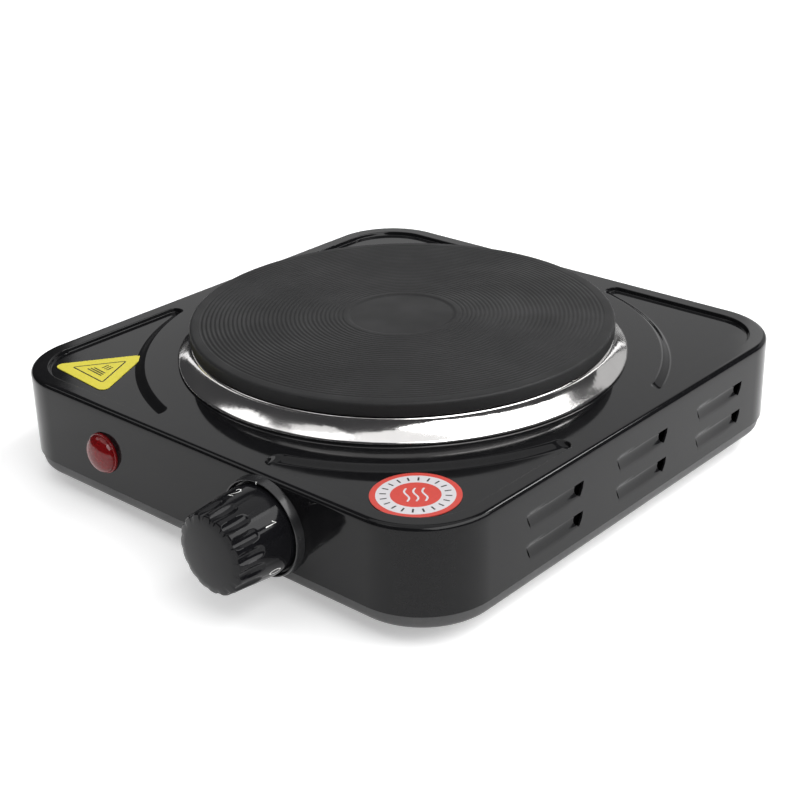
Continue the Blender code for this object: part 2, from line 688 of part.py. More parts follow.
def build_clamp(tails):
    """The stack on the centre stud, from the plate down: bridge, heat shield, washer and nut."""
    hole = STUD_RADIUS + CLEARANCE
    bridge_top = min(UNDER_TOP, SKIRT_END - GAP - COVER_SHEET) - GAP
    half_length = PLATE_SKIRT_RADIUS + OPENING_CLEARANCE + BRIDGE_OVERLAP
    half_width = BRIDGE_WIDTH / 2
    turn = [math.pi * i / 6 - math.pi / 2 for i in range(7)]
    outline = [(half_length - half_width + half_width * math.cos(a), half_width * math.sin(a)) for a in turn]
    outline += [(-x, -y) for x, y in outline]
    flat("clamp_bridge", [outline, circle(hole, 14)], BRIDGE_THICKNESS, "zinc_steel",
         location=(0, 0, bridge_top - BRIDGE_THICKNESS / 2))
    level = bridge_top - BRIDGE_THICKNESS - GAP
    rim_inside = SHIELD_RADIUS - COVER_SHEET
    profile = [(hole, level), (SHIELD_RADIUS, level), (SHIELD_RADIUS, level - SHIELD_RIM),
               (rim_inside, level - SHIELD_RIM), (rim_inside, level - COVER_SHEET),
               (hole, level - COVER_SHEET)]
    shield = turned("heat_shield", profile, "shield_steel", 40)
    for i, (x, y) in enumerate(tails, 1):
        tail_hole = ELEMENT_RADIUS + 4 * CLEARANCE
        cutter = cylinder_mesh(f"shield_hole_{i}", tail_hole, level - 3 * MM, level + 3 * MM, 14)
        combine(shield, add_cutter(f"shield_hole_{i}", cutter, (x, y, 0)))
    level -= COVER_SHEET + GAP
    ring("clamp_washer", hole, 2.3 * STUD_RADIUS, level - WASHER, level, "zinc_steel", 18)
    level -= WASHER + GAP
    hexagon = circle(NUT_FLATS / math.sqrt(3), 6)
    flat("clamp_nut", [hexagon, circle(hole, 14)], NUT_HEIGHT, "zinc_steel",
         location=(0, 0, level - NUT_HEIGHT / 2))
    stud_end = level - NUT_HEIGHT - STUD_PAST_NUT
    stud = cylinder_mesh("centre_stud", STUD_RADIUS, stud_end, WEB_UNDERSIDE + 0.5 * MM, 14)
    add_part("centre_stud", stud, "zinc_steel")


def knob_mesh_profile():
    bore = SPINDLE_RADIUS + CLEARANCE
    tip = KNOB_REACH
    edge = tip - KNOB_CROWN
    inner = KNOB_BACK_RADIUS - KNOB_WALL
    hollow_end = tip - 10 * MM
    return [
        (0, tip), (KNOB_FRONT_RADIUS * 0.45, tip - 0.25 * MM), (KNOB_FRONT_RADIUS * 0.8, tip - 0.9 * MM),
        (KNOB_FRONT_RADIUS - 0.7 * MM, edge + 0.7 * MM), (KNOB_FRONT_RADIUS, edge),
        *KNOB_SKIRT, (KNOB_BACK_RADIUS, KNOB_BACK), (inner, KNOB_BACK), (inner - MM, hollow_end),
        (HUB_RADIUS, hollow_end), (HUB_RADIUS, KNOB_BACK + 3 * MM), (bore, KNOB_BACK + 3 * MM),
        (bore, SPINDLE_OUT + GAP), (0, SPINDLE_OUT + GAP),
    ]


def build_knob(axis):
    """The knob, the spindle and the cam turn together."""
    knob = turned("control_knob", knob_mesh_profile(), "black_gloss_plastic", 32, closed=False, parent=axis)
    centre = KNOB_FRONT_RADIUS + FLUTE_RADIUS - FLUTE_BITE
    outlines = []
    for i in range(KNOB_FLUTES):
        angle = 2 * math.pi * (i + 0.5) / KNOB_FLUTES
        place = (centre * math.cos(angle), centre * math.sin(angle))
        outlines.append([(x, y, KNOB_REACH - FLUTE_LENGTH) for x, y in circle(FLUTE_RADIUS, 10, place)])
    flutes = add_cutter("flutes", prism_mesh("flutes", outlines, (0, 0, FLUTE_LENGTH + MM)))
    flutes.parent = axis
    combine(knob, flutes)
    spindle_mesh = cylinder_mesh("knob_spindle", SPINDLE_RADIUS, -SPINDLE_IN, SPINDLE_OUT, 20)
    spindle = add_part("knob_spindle", spindle_mesh, "zinc_steel", parent=axis)
    flat_low = (-2 * SPINDLE_RADIUS, -2 * SPINDLE_RADIUS, SPINDLE_OUT - 11 * MM)
    flat_high = (2 * SPINDLE_RADIUS, SPINDLE_FLAT - SPINDLE_RADIUS, SPINDLE_OUT + MM)
    side = add_cutter("spindle_flat", box_mesh("spindle_flat", flat_low, flat_high))
    side.parent = axis
    combine(spindle, side)
    flat("thermostat_cam", [cam_outline(), circle(SPINDLE_RADIUS + CLEARANCE, 16)], CAM_WIDTH, "ceramic",
         parent=axis, location=(0, 0, -CAM_DEPTH))


def cam_outline():
    """A snail cam: its radius grows evenly over most of a turn, then falls back."""
    grow = CAM_LIFT_PER_TURN / (2 * math.pi)
    first, last = math.radians(-140), math.radians(172)
    points = []
    for i in range(27):
        angle = first + (last - first) * i / 26
        radius = CAM_RADIUS + grow * angle
        points.append((-radius * math.sin(angle), radius * math.cos(angle)))
    return points


def build_bezel_and_bush():
    placing = {"location": (KNOB_X, FRONT, KNOB_Z), "rotation": OUTWARDS_FRONT}
    hole = BUSH_RADIUS + CLEARANCE
    back = GAP
    dish = KNOB_BACK_RADIUS + 0.7 * MM
    floor = back + BEZEL_FLOOR
    profile = [(hole, floor), (dish, floor), (dish + 0.2 * MM, BEZEL_HEIGHT - 0.3 * MM),
               (BEZEL_RADIUS - 0.7 * MM, BEZEL_HEIGHT), (BEZEL_RADIUS - 0.4 * MM, BEZEL_HEIGHT - 0.3 * MM),
               (BEZEL_RADIUS, back), (hole, back)]
    turned("knob_bezel", profile, "black_enamel", 40, **placing)
    inner = SPINDLE_RADIUS + RUNNING_CLEARANCE
    nut_low = floor + GAP
    nut_top = nut_low + BUSH_NUT
    flange = -(SHEET + 2 * GAP + BRACKET_SHEET)
    barrel = BUSH_RADIUS + MM
    bush = [(inner, nut_top + GAP), (BUSH_RADIUS, nut_top + GAP), (BUSH_RADIUS, flange),
            (BUSH_FLANGE_RADIUS, flange), (BUSH_FLANGE_RADIUS, flange - BUSH_FLANGE),
            (barrel, flange - BUSH_FLANGE), (barrel, -BUSH_INSIDE), (inner, -BUSH_INSIDE)]
    turned("spindle_bush", bush, "brass", 20, **placing)
    nut_placing = dict(placing, location=(KNOB_X, FRONT - nut_low - BUSH_NUT / 2, KNOB_Z))
    hexagon = circle(BUSH_NUT_FLATS / math.sqrt(3), 6)
    flat("bush_nut", [hexagon, circle(hole, 16)], BUSH_NUT, "zinc_steel", **nut_placing)


ARM_BOTTOM = KNOB_Z + CAM_RADIUS + CAM_CLEARANCE
ARM_TOP = ARM_BOTTOM + BLADE
STACK_X = KNOB_X - ARM_LEVER
BLADE_Y = FRONT + CAM_DEPTH
SPACER_MIDDLE_LOW = ARM_TOP + ARM_PLAY
BIMETAL_LOW = SPACER_MIDDLE_LOW + SPACER_MIDDLE + GAP
BIMETAL_TAB_LOW = BIMETAL_LOW + BIMETAL + GAP
SPACER_TOP_LOW = BIMETAL_TAB_LOW + BLADE + GAP
SHELF_LOW = SPACER_TOP_LOW + SPACER_TOP + GAP
ARM_TAB_LOW = ARM_BOTTOM - ARM_PLAY - BLADE
SPACER_LOW_LOW = ARM_TAB_LOW - GAP - SPACER_LOW


def blade_outline(left, right):
    half = BLADE_WIDTH / 2
    cut = 1.5 * MM
    return [(left, -half + cut), (left + cut, -half), (right - cut, -half), (right, -half + cut),
            (right, half - cut), (right - cut, half), (left + cut, half), (left, half - cut)]


def blade(name, left, right, low, thickness, look, hole, hinge=None):
    """A strip along X in the blade stack, with a hole for the stack's rivet."""
    outline = [(x, y, -thickness / 2) for x, y in blade_outline(left, right)]
    place = (0, 0, 0) if hinge else (STACK_X, BLADE_Y, low + thickness / 2)
    made = add_part(name, prism_mesh(name, [outline], (0, 0, thickness)), look, place, parent=hinge)
    cutter = cylinder_mesh(f"{name}_hole", hole, low - MM, low + thickness + MM, 12)
    combine(made, add_cutter(f"{name}_hole", cutter, (STACK_X, BLADE_Y, 0)))


def add_contact(name, low, top):
    """The silver button riveted to the end of a blade, in one piece with it."""
    button = cylinder_mesh(f"{name}_contact", CONTACT_RADIUS, low, top, 14)
    place = (STACK_X + CONTACT_LEVER, BLADE_Y, 0)
    combine(bpy.data.objects[name], add_cutter(f"{name}_contact", button, place), "UNION")


def build_thermostat():
    stack = {"location": (STACK_X, BLADE_Y, 0)}
    hole = RIVET_RADIUS + CLEARANCE
    spacers = (
        ("top", SPACER_TOP_LOW, SPACER_TOP), ("middle", SPACER_MIDDLE_LOW, SPACER_MIDDLE),
        ("low", SPACER_LOW_LOW, SPACER_LOW),
    )
    for name, low, height in spacers:
        ring(f"stack_spacer_{name}", hole, SPACER_RADIUS, low, low + height, "ceramic", 14, **stack)
    tail = -SPACER_RADIUS - MM
    end = CONTACT_LEVER + 3 * MM
    top_of_fixed = BIMETAL_LOW + 0.2 * MM
    blade("bimetal_blade", tail, end, BIMETAL_LOW, BIMETAL, "spring_steel", hole)
    add_contact("bimetal_blade", top_of_fixed - CONTACT - GAP, top_of_fixed)
    blade("bimetal_terminal", -TAB_LENGTH, -tail, BIMETAL_TAB_LOW, BLADE, "brass", hole)
    blade("arm_terminal", -TAB_LENGTH, -tail, ARM_TAB_LOW, BLADE, "brass", hole)
    hinge = pivot("contact_arm_pivot", (STACK_X, BLADE_Y, ARM_BOTTOM + BLADE / 2), parent=BODY)
    blade("contact_arm", tail, end, ARM_BOTTOM, BLADE, "spring_steel", hole + 0.6 * MM, hinge)
    add_contact("contact_arm", ARM_TOP - 0.2 * MM, ARM_TOP + CONTACT)
    build_stack_rivet(stack)
    build_bracket(hole)


def build_stack_rivet(stack):
    head = 2 * RIVET_RADIUS
    top = SHELF_LOW + BRACKET_SHEET + GAP
    bottom = SPACER_LOW_LOW - GAP
    profile = [(0, top + 0.8 * MM), (head, top + 0.4 * MM), (head, top), (RIVET_RADIUS, top),
               (RIVET_RADIUS, bottom), (head, bottom), (head, bottom - 0.6 * MM), (0, bottom - MM)]
    turned("stack_rivet", profile, "zinc_steel", 14, closed=False, **stack)


def build_bracket(hole):
    """An angle plate behind the front wall. The bush goes through it, and its shelf carries the blades."""
    front = FRONT + SHEET + GAP
    back = front + BRACKET_REACH
    left = STACK_X - SPACER_RADIUS - 3 * MM
    right = KNOB_X + BUSH_FLANGE_RADIUS + 5 * MM
    low, top = PAN_LIP + MM, SHELF_LOW + BRACKET_SHEET
    outline = [(left, front, low), (left, front, top), (left, back, top), (left, back, SHELF_LOW),
               (left, front + BRACKET_SHEET, SHELF_LOW), (left, front + BRACKET_SHEET, low)]
    mesh = prism_mesh("thermostat_bracket", [outline], (right - left, 0, 0))
    bracket = add_part("thermostat_bracket", mesh, "zinc_steel")
    combine(bracket, hole_through_wall("bracket_bush_hole", KNOB_X, KNOB_Z, BUSH_RADIUS + CLEARANCE, FRONT))
    shelf_hole = cylinder_mesh("bracket_rivet_hole", hole, SHELF_LOW - MM, top + MM, 12)
    combine(bracket, add_cutter("bracket_rivet_hole", shelf_hole, (STACK_X, BLADE_Y, 0)))


def build_pilot():
    placing = {"location": (PILOT_X, FRONT, PILOT_Z), "rotation": OUTWARDS_FRONT}
    inner = LENS_NECK - LENS_WALL
    dome = [(LENS_RADIUS * math.sin(a), GAP + MM + (LENS_DOME - MM) * math.cos(a))
            for a in (math.pi / 2 * i / 5 for i in range(6))]
    lens = [*dome, (LENS_RADIUS, GAP), (LENS_NECK, GAP), (LENS_NECK, -LENS_NECK_LENGTH),
            (inner, -LENS_NECK_LENGTH), (inner, MM), (0, 2 * MM)]
    turned("pilot_lens", lens, "red_lens", 28, closed=False, **placing)
    clip_top = -(SHEET + GAP)
    ring("pilot_retainer", LENS_NECK + CLEARANCE, LENS_NECK + 2 * MM, clip_top - 1.2 * MM, clip_top,
         "spring_steel", 20, **placing)
    tip = -LENS_NECK_LENGTH - LAMP_PAST_NECK
    lamp = [(0, 0), (LAMP_RADIUS * 0.7, -0.5 * MM), (LAMP_RADIUS, -2 * MM), (LAMP_RADIUS, tip), (0, tip)]
    turned("neon_lamp", lamp, "lamp_glass", 14, closed=False, **placing)


def build_gland():
    wall = -SHEET
    barb = GLAND_NECK + MM
    bevel = 0.8 * MM
    tail = wall - 5 * MM
    profile = [(GLAND_BORE, GLAND_REACH), (GLAND_FLANGE - bevel, GLAND_REACH),
               (GLAND_FLANGE, GLAND_REACH - bevel), (GLAND_FLANGE, GAP), (GLAND_NECK, GAP),
               (GLAND_NECK, wall - GAP), (barb, wall - GAP), (GLAND_NECK, tail), (GLAND_BORE, tail)]
    turned("cord_gland", profile, "rubber", 24, location=(GLAND_X, BACK, GLAND_Z), rotation=OUTWARDS_BACK)


def build_terminals():
    x, y = BLOCK_AT
    width, depth, height = BLOCK_SIZE
    low = PAN_FLOOR + GAP
    near, far = (x - width / 2, y - depth / 2, low), (x + width / 2, y + depth / 2, low + height)
    block = add_part("terminal_block", box_mesh("terminal_block", near, far), "block_plastic")
    rounding = block.modifiers.new("edges", "BEVEL")
    rounding.width = 0.6 * MM
    for i, pole in enumerate(BLOCK_POLES, 1):
        well_floor = low + height - WELL_DEPTH
        well_radius = TERMINAL_SCREW_RADIUS + CLEARANCE
        well = cylinder_mesh(f"block_well_{i}", well_radius, well_floor, low + height + MM, 14)
        combine(block, add_cutter(f"block_well_{i}", well, (x + pole, y, 0)))
        screw = cylinder_mesh(
            f"terminal_screw_{i}", TERMINAL_SCREW_RADIUS, well_floor + GAP, low + height - MM, 12
        )
        add_part(f"terminal_screw_{i}", screw, "brass", (x + pole, y, 0))
    ex, ey = EARTH_AT
    tag_low = PAN_FLOOR + GAP
    eye, tip, tip_half = 3.4 * MM, -9 * MM, 1.4 * MM
    tag = [(-eye, eye), (tip, tip_half), (tip, -tip_half), (-eye, -eye), (eye, -eye), (eye, eye)]
    flat("earth_tag", [tag, circle(SCREW_RADIUS + CLEARANCE, 12)], BLADE, "brass",
         location=(ex, ey, tag_low + BLADE / 2))
    head_top = tag_low + BLADE + GAP + SCREW_HEAD
    turned_screw("earth_screw", head_top, SCREW_HEAD, -2 * MM, SCREW_RADIUS, 3.3 * MM, "brass",
                 location=(ex, ey, 0))


def build_leads(tails):
    """Internal wiring. Each route is chosen by hand; both its ends stop a gap short of what they join."""
    face = BLOCK_AT[1] - BLOCK_SIZE[1] / 2 - GAP
    live, lamp_neutral, neutral = (BLOCK_AT[0] + offset * MM for offset in (-5.5, 3.5, 7.5))
    low = 7 * MM
    tab_x = STACK_X - TAB_LENGTH - GAP
    pins = [(x, y, PIN_END - GAP) for x, y in tails]
    back = FRONT + LENS_NECK_LENGTH + LAMP_PAST_NECK + GAP
    side = PIN_RADIUS + GAP
    routes = {
        "live_lead": ("lead_red", [
            (live, face, low), (live, face - 8 * MM, low), (-84 * MM, 44 * MM, 6 * MM), (-88 * MM, 0, 6 * MM),
            (-84 * MM, -44 * MM, 6 * MM), (-64 * MM, -72 * MM, 6 * MM), (-26 * MM, -86 * MM, 8 * MM),
            (tab_x - 9 * MM, BLADE_Y, BIMETAL_TAB_LOW - 6 * MM),
            (tab_x - 2.5 * MM, BLADE_Y, BIMETAL_TAB_LOW + BLADE / 2),
            (tab_x, BLADE_Y, BIMETAL_TAB_LOW + BLADE / 2)]),
        "element_lead": ("lead_red", [
            (tab_x, BLADE_Y, ARM_TAB_LOW + BLADE / 2), (tab_x - 2.5 * MM, BLADE_Y, ARM_TAB_LOW + BLADE / 2),
            (tab_x - 6 * MM, BLADE_Y + 3 * MM, ARM_TAB_LOW - 4 * MM),
            (0, -70 * MM, 12 * MM), (pins[0][0] - 2 * MM, pins[0][1] - 3 * MM, 11 * MM),
            (pins[0][0], pins[0][1], PIN_END - 3 * MM), pins[0]]),
        "neutral_lead": ("lead_blue", [
            (neutral, face, low), (neutral, face - 8 * MM, low), (-32 * MM, 46 * MM, 8 * MM),
            (pins[1][0] - 4 * MM, pins[1][1] + 3 * MM, 11 * MM),
            (pins[1][0], pins[1][1], PIN_END - 3 * MM), pins[1]]),
        "lamp_live_lead": ("lead_red", [
            (PILOT_X + 1.4 * MM, back, PILOT_Z), (PILOT_X + 1.4 * MM, back + 3 * MM, PILOT_Z),
            (PILOT_X + 4 * MM, back + 9 * MM, 14 * MM), (-16 * MM, -66 * MM, 9 * MM),
            (pins[0][0] - 10 * MM, pins[0][1] + 3 * MM, 14 * MM),
            (pins[0][0] - side - 3 * MM, pins[0][1], PIN_END + 2.3 * MM),
            (pins[0][0] - side, pins[0][1], PIN_END + 2.5 * MM)]),
        "lamp_neutral_lead": ("lead_blue", [
            (PILOT_X - 1.4 * MM, back, PILOT_Z), (PILOT_X - 1.4 * MM, back + 3 * MM, PILOT_Z),
            (PILOT_X - 6 * MM, back + 9 * MM, 14 * MM), (-72 * MM, -40 * MM, 10 * MM),
            (-76 * MM, 20 * MM, 10 * MM), (lamp_neutral - 3 * MM, face - 12 * MM, low + MM),
            (lamp_neutral, face, low)]),
    }
    for name, (look, points) in routes.items():
        tube(name, smooth_route(points, 3), LEAD_RADIUS, look)


def build_labels():
    level = BODY_TOP - PANEL_DROP + GAP + LABEL / 2
    round_at = (BODY_WIDTH / 2 - ROUND_LABEL_IN[0], FRONT + ROUND_LABEL_IN[1], level)
    triangle_at = (TRIANGLE_IN[0] - BODY_WIDTH / 2, FRONT + TRIANGLE_IN[1], level)
    flat("round_label", [circle(ROUND_LABEL_RADIUS, 36)], LABEL, "label_red", location=round_at)
    third = 2 * math.pi / 3
    centre_reach = TRIANGLE_SIDE / math.sqrt(3) - 2 * TRIANGLE_CORNER
    outline = []
    for i in range(3):
        heading = math.pi / 2 + third * i
        x, y = centre_reach * math.cos(heading), centre_reach * math.sin(heading)
        for j in range(5):
            a = heading + third * (j / 4 - 0.5)
            outline.append((x + TRIANGLE_CORNER * math.cos(a), y + TRIANGLE_CORNER * math.sin(a)))
    flat("triangle_label", [outline], LABEL, "label_yellow", location=triangle_at,
         rotation=(0, 0, TRIANGLE_TURN))


build_housing()
build_base_pan()
build_feet_and_posts()
build_hot_plate()
build_trim_ring()
element_tails = build_element()
build_clamp(element_tails)
build_bezel_and_bush()
build_knob(pivot("knob_axis", (KNOB_X, FRONT, KNOB_Z), OUTWARDS_FRONT, BODY))
build_thermostat()
build_pilot()
build_gland()
build_terminals()
build_leads(element_tails)
build_labels()
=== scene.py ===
"""Hot plate burner: the finished look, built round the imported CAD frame. Metres, +Z up, knob towards -Y."""

import math

import bmesh
import bpy
from mathutils import Matrix, Vector


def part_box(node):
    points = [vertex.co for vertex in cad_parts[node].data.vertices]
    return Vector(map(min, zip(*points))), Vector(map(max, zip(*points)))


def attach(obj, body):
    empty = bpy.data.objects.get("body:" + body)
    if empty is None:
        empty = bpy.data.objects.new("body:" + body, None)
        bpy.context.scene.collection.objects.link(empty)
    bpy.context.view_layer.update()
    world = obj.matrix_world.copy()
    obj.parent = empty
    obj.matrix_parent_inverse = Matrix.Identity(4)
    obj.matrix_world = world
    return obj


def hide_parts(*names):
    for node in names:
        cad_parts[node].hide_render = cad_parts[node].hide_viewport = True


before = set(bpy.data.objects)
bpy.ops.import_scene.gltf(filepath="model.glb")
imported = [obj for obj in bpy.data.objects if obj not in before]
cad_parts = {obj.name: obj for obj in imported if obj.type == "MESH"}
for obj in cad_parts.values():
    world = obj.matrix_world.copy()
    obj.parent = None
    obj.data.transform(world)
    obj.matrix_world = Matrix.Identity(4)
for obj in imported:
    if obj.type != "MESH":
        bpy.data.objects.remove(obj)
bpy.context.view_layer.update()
mm = 0.001


# ---------------------------------------------------------------- Enamelled shell
# One drawn sheet of 0.8 mm steel, fired with glossy black enamel. Four shallow corner panels are
# pressed into its top round a collar for the plate, and six vent louvres into each side wall.
# It drops over the base pan and its open lower edge hides the pan's lip.
shell_low, shell_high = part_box("housing")
pan_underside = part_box("base_pan")[0].z
body_centre = Vector((0, (shell_low.y + shell_high.y) / 2, pan_underside))
body_place = Matrix.Translation(body_centre)
shell_x, shell_y = shell_high.x, (shell_high.y - shell_low.y) / 2
shell_top, shell_foot = shell_high.z - pan_underside, shell_low.z - pan_underside
shell_sheet = 0.8 * mm
shell_corner = 27 * mm
shell_round = 1.8 * mm
plate_low, plate_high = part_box("hot_plate")


def half_across(box):
    """Half the width of a CAD node's box, which is the radius of a round one."""
    low, high = box
    return (high.x - low.x) / 2


plate_radius, ring_radius = half_across(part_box("hot_plate")), half_across(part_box("trim_ring"))
opening_radius = plate_radius - 4 * mm

panel_drop = 1.5 * mm
panel_rim = 6.2 * mm
panel_rim_slope, panel_arc_slope = 1.0 * mm, 3.9 * mm
panel_arc = ring_radius + 11.9 * mm
panel_end, panel_end_round = 26 * mm, 3.4 * mm

louvre_length, louvre_height, louvre_near_depth, louvre_far_depth = 30 * mm, 5 * mm, 0.4 * mm, 1.3 * mm
louvre_near_gap, louvre_far_gap, louvre_round = 0.9 * mm, 3.4 * mm, 1.9 * mm
louvre_middles = [(4 + 49 * place) * mm for place in (-1, 0, 1)]
louvre_rows = (13.2 * mm, 24.2 * mm)
louvre_steps = 12


def finish(name, colour, roughness, metallic=0.0, mottle=0.12, grain=2 * mm, patch=22 * mm, relief=0.002 * mm,
           gloss_change=0.2, stretch=(1, 1, 1), middle=(0, 0, 0), **constants):
    """A material whose colour wanders with the grain and whose gloss wanders in larger patches.

    stretch and middle shape the grain about a piece, relief is its height, and the constants are
    set on the shader's own sockets."""
    made = bpy.data.materials.new(name)
    made.use_nodes = True
    nodes, links = made.node_tree.nodes, made.node_tree.links
    shader = nodes["Principled BSDF"]
    shader.inputs["Metallic"].default_value = metallic
    for socket, value in constants.items():
        shader.inputs[socket.replace("_", " ")].default_value = value
    place = nodes.new("ShaderNodeTexCoord")
    centred = nodes.new("ShaderNodeMapping")
    centred.inputs["Location"].default_value = [-m * s for m, s in zip(middle, stretch)]
    centred.inputs["Scale"].default_value = stretch
    links.new(place.outputs["Object"], centred.inputs["Vector"])

    def noise(size, detail):
        made_noise = nodes.new("ShaderNodeTexNoise")
        made_noise.inputs["Scale"].default_value = 1 / size
        made_noise.inputs["Detail"].default_value = detail
        links.new(centred.outputs["Vector"], made_noise.inputs["Vector"])
        return made_noise.outputs["Fac"]

    fine, broad = noise(grain, 3), noise(patch, 2)
    tint = nodes.new("ShaderNodeMix")
    tint.data_type = "RGBA"
    tint.inputs[6].default_value = (*[c * (1 - mottle) for c in colour], 1)
    tint.inputs[7].default_value = (*[min(c * (1 + mottle), 1) for c in colour], 1)
    links.new(fine, tint.inputs[0])
    links.new(tint.outputs[2], shader.inputs["Base Color"])
    gloss = nodes.new("ShaderNodeMapRange")
    gloss.inputs["From Min"].default_value = 0.3
    gloss.inputs["From Max"].default_value = 0.7
    gloss.inputs["To Min"].default_value = roughness * (1 - gloss_change)
    gloss.inputs["To Max"].default_value = roughness * (1 + gloss_change)
    links.new(broad, gloss.inputs["Value"])
    links.new(gloss.outputs["Result"], shader.inputs["Roughness"])
    bump = nodes.new("ShaderNodeBump")
    bump.inputs["Distance"].default_value = relief
    links.new(fine, bump.inputs["Height"])
    links.new(bump.outputs["Normal"], shader.inputs["Normal"])
    return made


def placed(name, data):
    """A new object in the scene that holds this mesh, curve, light or camera."""
    made = bpy.data.objects.new(name, data)
    bpy.context.scene.collection.objects.link(made)
    return made


def as_mesh(bm, name="mesh"):
    """The mesh of a closed shape, its faces turned outwards."""
    bmesh.ops.recalc_face_normals(bm, faces=bm.faces)
    mesh = bpy.data.meshes.new(name)
    bm.to_mesh(mesh)
    bm.free()
    return mesh


def settled(mesh, modify):
    """The mesh after the modifiers that modify(object) adds to it."""
    worker = placed("worker", mesh)
    modify(worker)
    graph = bpy.context.evaluated_depsgraph_get()
    made = bpy.data.meshes.new_from_object(worker.evaluated_get(graph))
    bpy.data.objects.remove(worker)
    return made


def piece(name, mesh, material, body, nodes, place=body_place, sharp=35):
    """A finished piece: its place goes into its mesh, it rides on a body and stands for CAD nodes."""
    mesh.transform(place)
    if material is not None:
        mesh.materials.clear()
        mesh.materials.append(material)
    mesh.shade_smooth()
    mesh.set_sharp_from_angle(angle=math.radians(sharp))
    made = placed(name, mesh)
    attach(made, body)
    if nodes:
        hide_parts(*nodes)
    return made


def walk_round(half_x, half_y, radius, inset, stops_x=(), stops_y=(), corner_steps=24):
    """Points round a rounded square, anticlockwise from the near end of its right side."""
    flat_x, flat_y = half_x - radius, half_y - radius
    right = [(half_x - inset, y) for y in (-flat_y, *stops_y, flat_y)]
    far = [(x, half_y - inset) for x in (flat_x, *reversed(stops_x), -flat_x)]
    left = [(-half_x + inset, y) for y in (flat_y, *reversed(stops_y), -flat_y)]
    near = [(x, -half_y + inset) for x in (-flat_x, *stops_x, flat_x)]
    corners = []
    for i, (sx, sy) in enumerate(((1, 1), (-1, 1), (-1, -1), (1, -1))):
        arc = [math.pi / 2 * (i + k / corner_steps) for k in range(1, corner_steps)]
        reach = radius - inset
        corners.append([(sx * flat_x + reach * math.cos(a), sy * flat_y + reach * math.sin(a)) for a in arc])
    return [*right, *corners[0], *far, *corners[1], *left, *corners[2], *near, *corners[3]]


def join_loops(bm, loops, skip=lambda i, j: False):
    """Quads between loops of vertices that have the same count. Cells for which skip is true are left open."""
    count = len(loops[0])
    for j, (lower, upper) in enumerate(zip(loops, loops[1:])):
        for i in range(count):
            if not skip(i, j):
                k = (i + 1) % count
                bm.faces.new((lower[i], lower[k], upper[k], upper[i]))


def circle(radius, steps, x=0, y=0):
    """The points of a circle, anticlockwise from its right-hand side."""
    turn = [2 * math.pi * k / steps for k in range(steps)]
    return [(x + radius * math.cos(a), y + radius * math.sin(a)) for a in turn]


def fill_flat(bm, loops):
    """Fills the flat area inside the first loop and outside the others."""
    edges = []
    for loop in loops:
        for a, b in zip(loop, [*loop[1:], loop[0]]):
            edges.append(bm.edges.get((a, b)) or bm.edges.new((a, b)))
    bmesh.ops.triangle_fill(bm, use_beauty=True, use_dissolve=False, edges=edges)


def panel_edge(shrink, arc_shrink):
    """The outline of the corner panel in the right-hand far quarter, anticlockwise from its near end."""
    reach_x, reach_y = shell_x - panel_rim - shrink, shell_y - panel_rim - shrink
    corner = shell_corner - panel_rim - shrink
    arc = panel_arc + arc_shrink
    tip = panel_end + panel_end_round
    bulge = panel_end_round - shrink

    def end(reach):
        near = math.sqrt(arc**2 - tip**2)
        middle, half = (reach + near) / 2, (reach - near) / 2
        turn = [math.pi * k / 24 for k in range(25)]
        return [(tip - bulge * math.sin(a), middle - half * math.cos(a)) for a in turn]

    def straight(a, b, steps=14):
        return [(a[0] + (b[0] - a[0]) * k / steps, a[1] + (b[1] - a[1]) * k / steps) for k in range(1, steps)]

    near_end = [(y, x) for x, y in end(reach_x)]
    far_end = list(reversed(end(reach_y)))
    turn = [math.pi / 2 * k / 32 for k in range(33)]
    middle_x, middle_y = reach_x - corner, reach_y - corner
    bend = [(middle_x + corner * math.cos(a), middle_y + corner * math.sin(a)) for a in turn]
    first, last = math.asin(tip / arc), math.acos(tip / arc)
    curve = [last + (first - last) * k / 90 for k in range(1, 90)]
    return [*near_end, *straight(near_end[-1], bend[0]), *bend, *straight(bend[-1], far_end[0]), *far_end,
            *[(arc * math.cos(a), arc * math.sin(a)) for a in curve]]


def eased_step(t, ease=0.36):
    """0 to 1 as t goes from 0 to 1: a straight slope whose two ends are rounded off."""
    t = min(max(t, 0), 1)
    if t < ease:
        return t * t / (2 * ease * (1 - ease))
    if t > 1 - ease:
        return 1 - (1 - t) ** 2 / (2 * ease * (1 - ease))
    return (t - ease / 2) / (1 - ease)


def press_panel(bm, side_x, side_y):
    """One corner panel. Returns its outer loop, in the plane of the top."""
    loops = []
    for t in (-0.1, 0, 0.06, 0.12, 0.18, 0.26, 0.38, 0.5, 0.62, 0.74, 0.82, 0.88, 0.94, 1, 1.15):
        edge = panel_edge(panel_rim_slope * t, panel_arc_slope * t)
        z = shell_top - panel_drop * eased_step(t)
        loops.append([bm.verts.new((side_x * x, side_y * y, z)) for x, y in edge])
    join_loops(bm, loops)
    bm.faces.new(loops[-1])
    return loops[0]


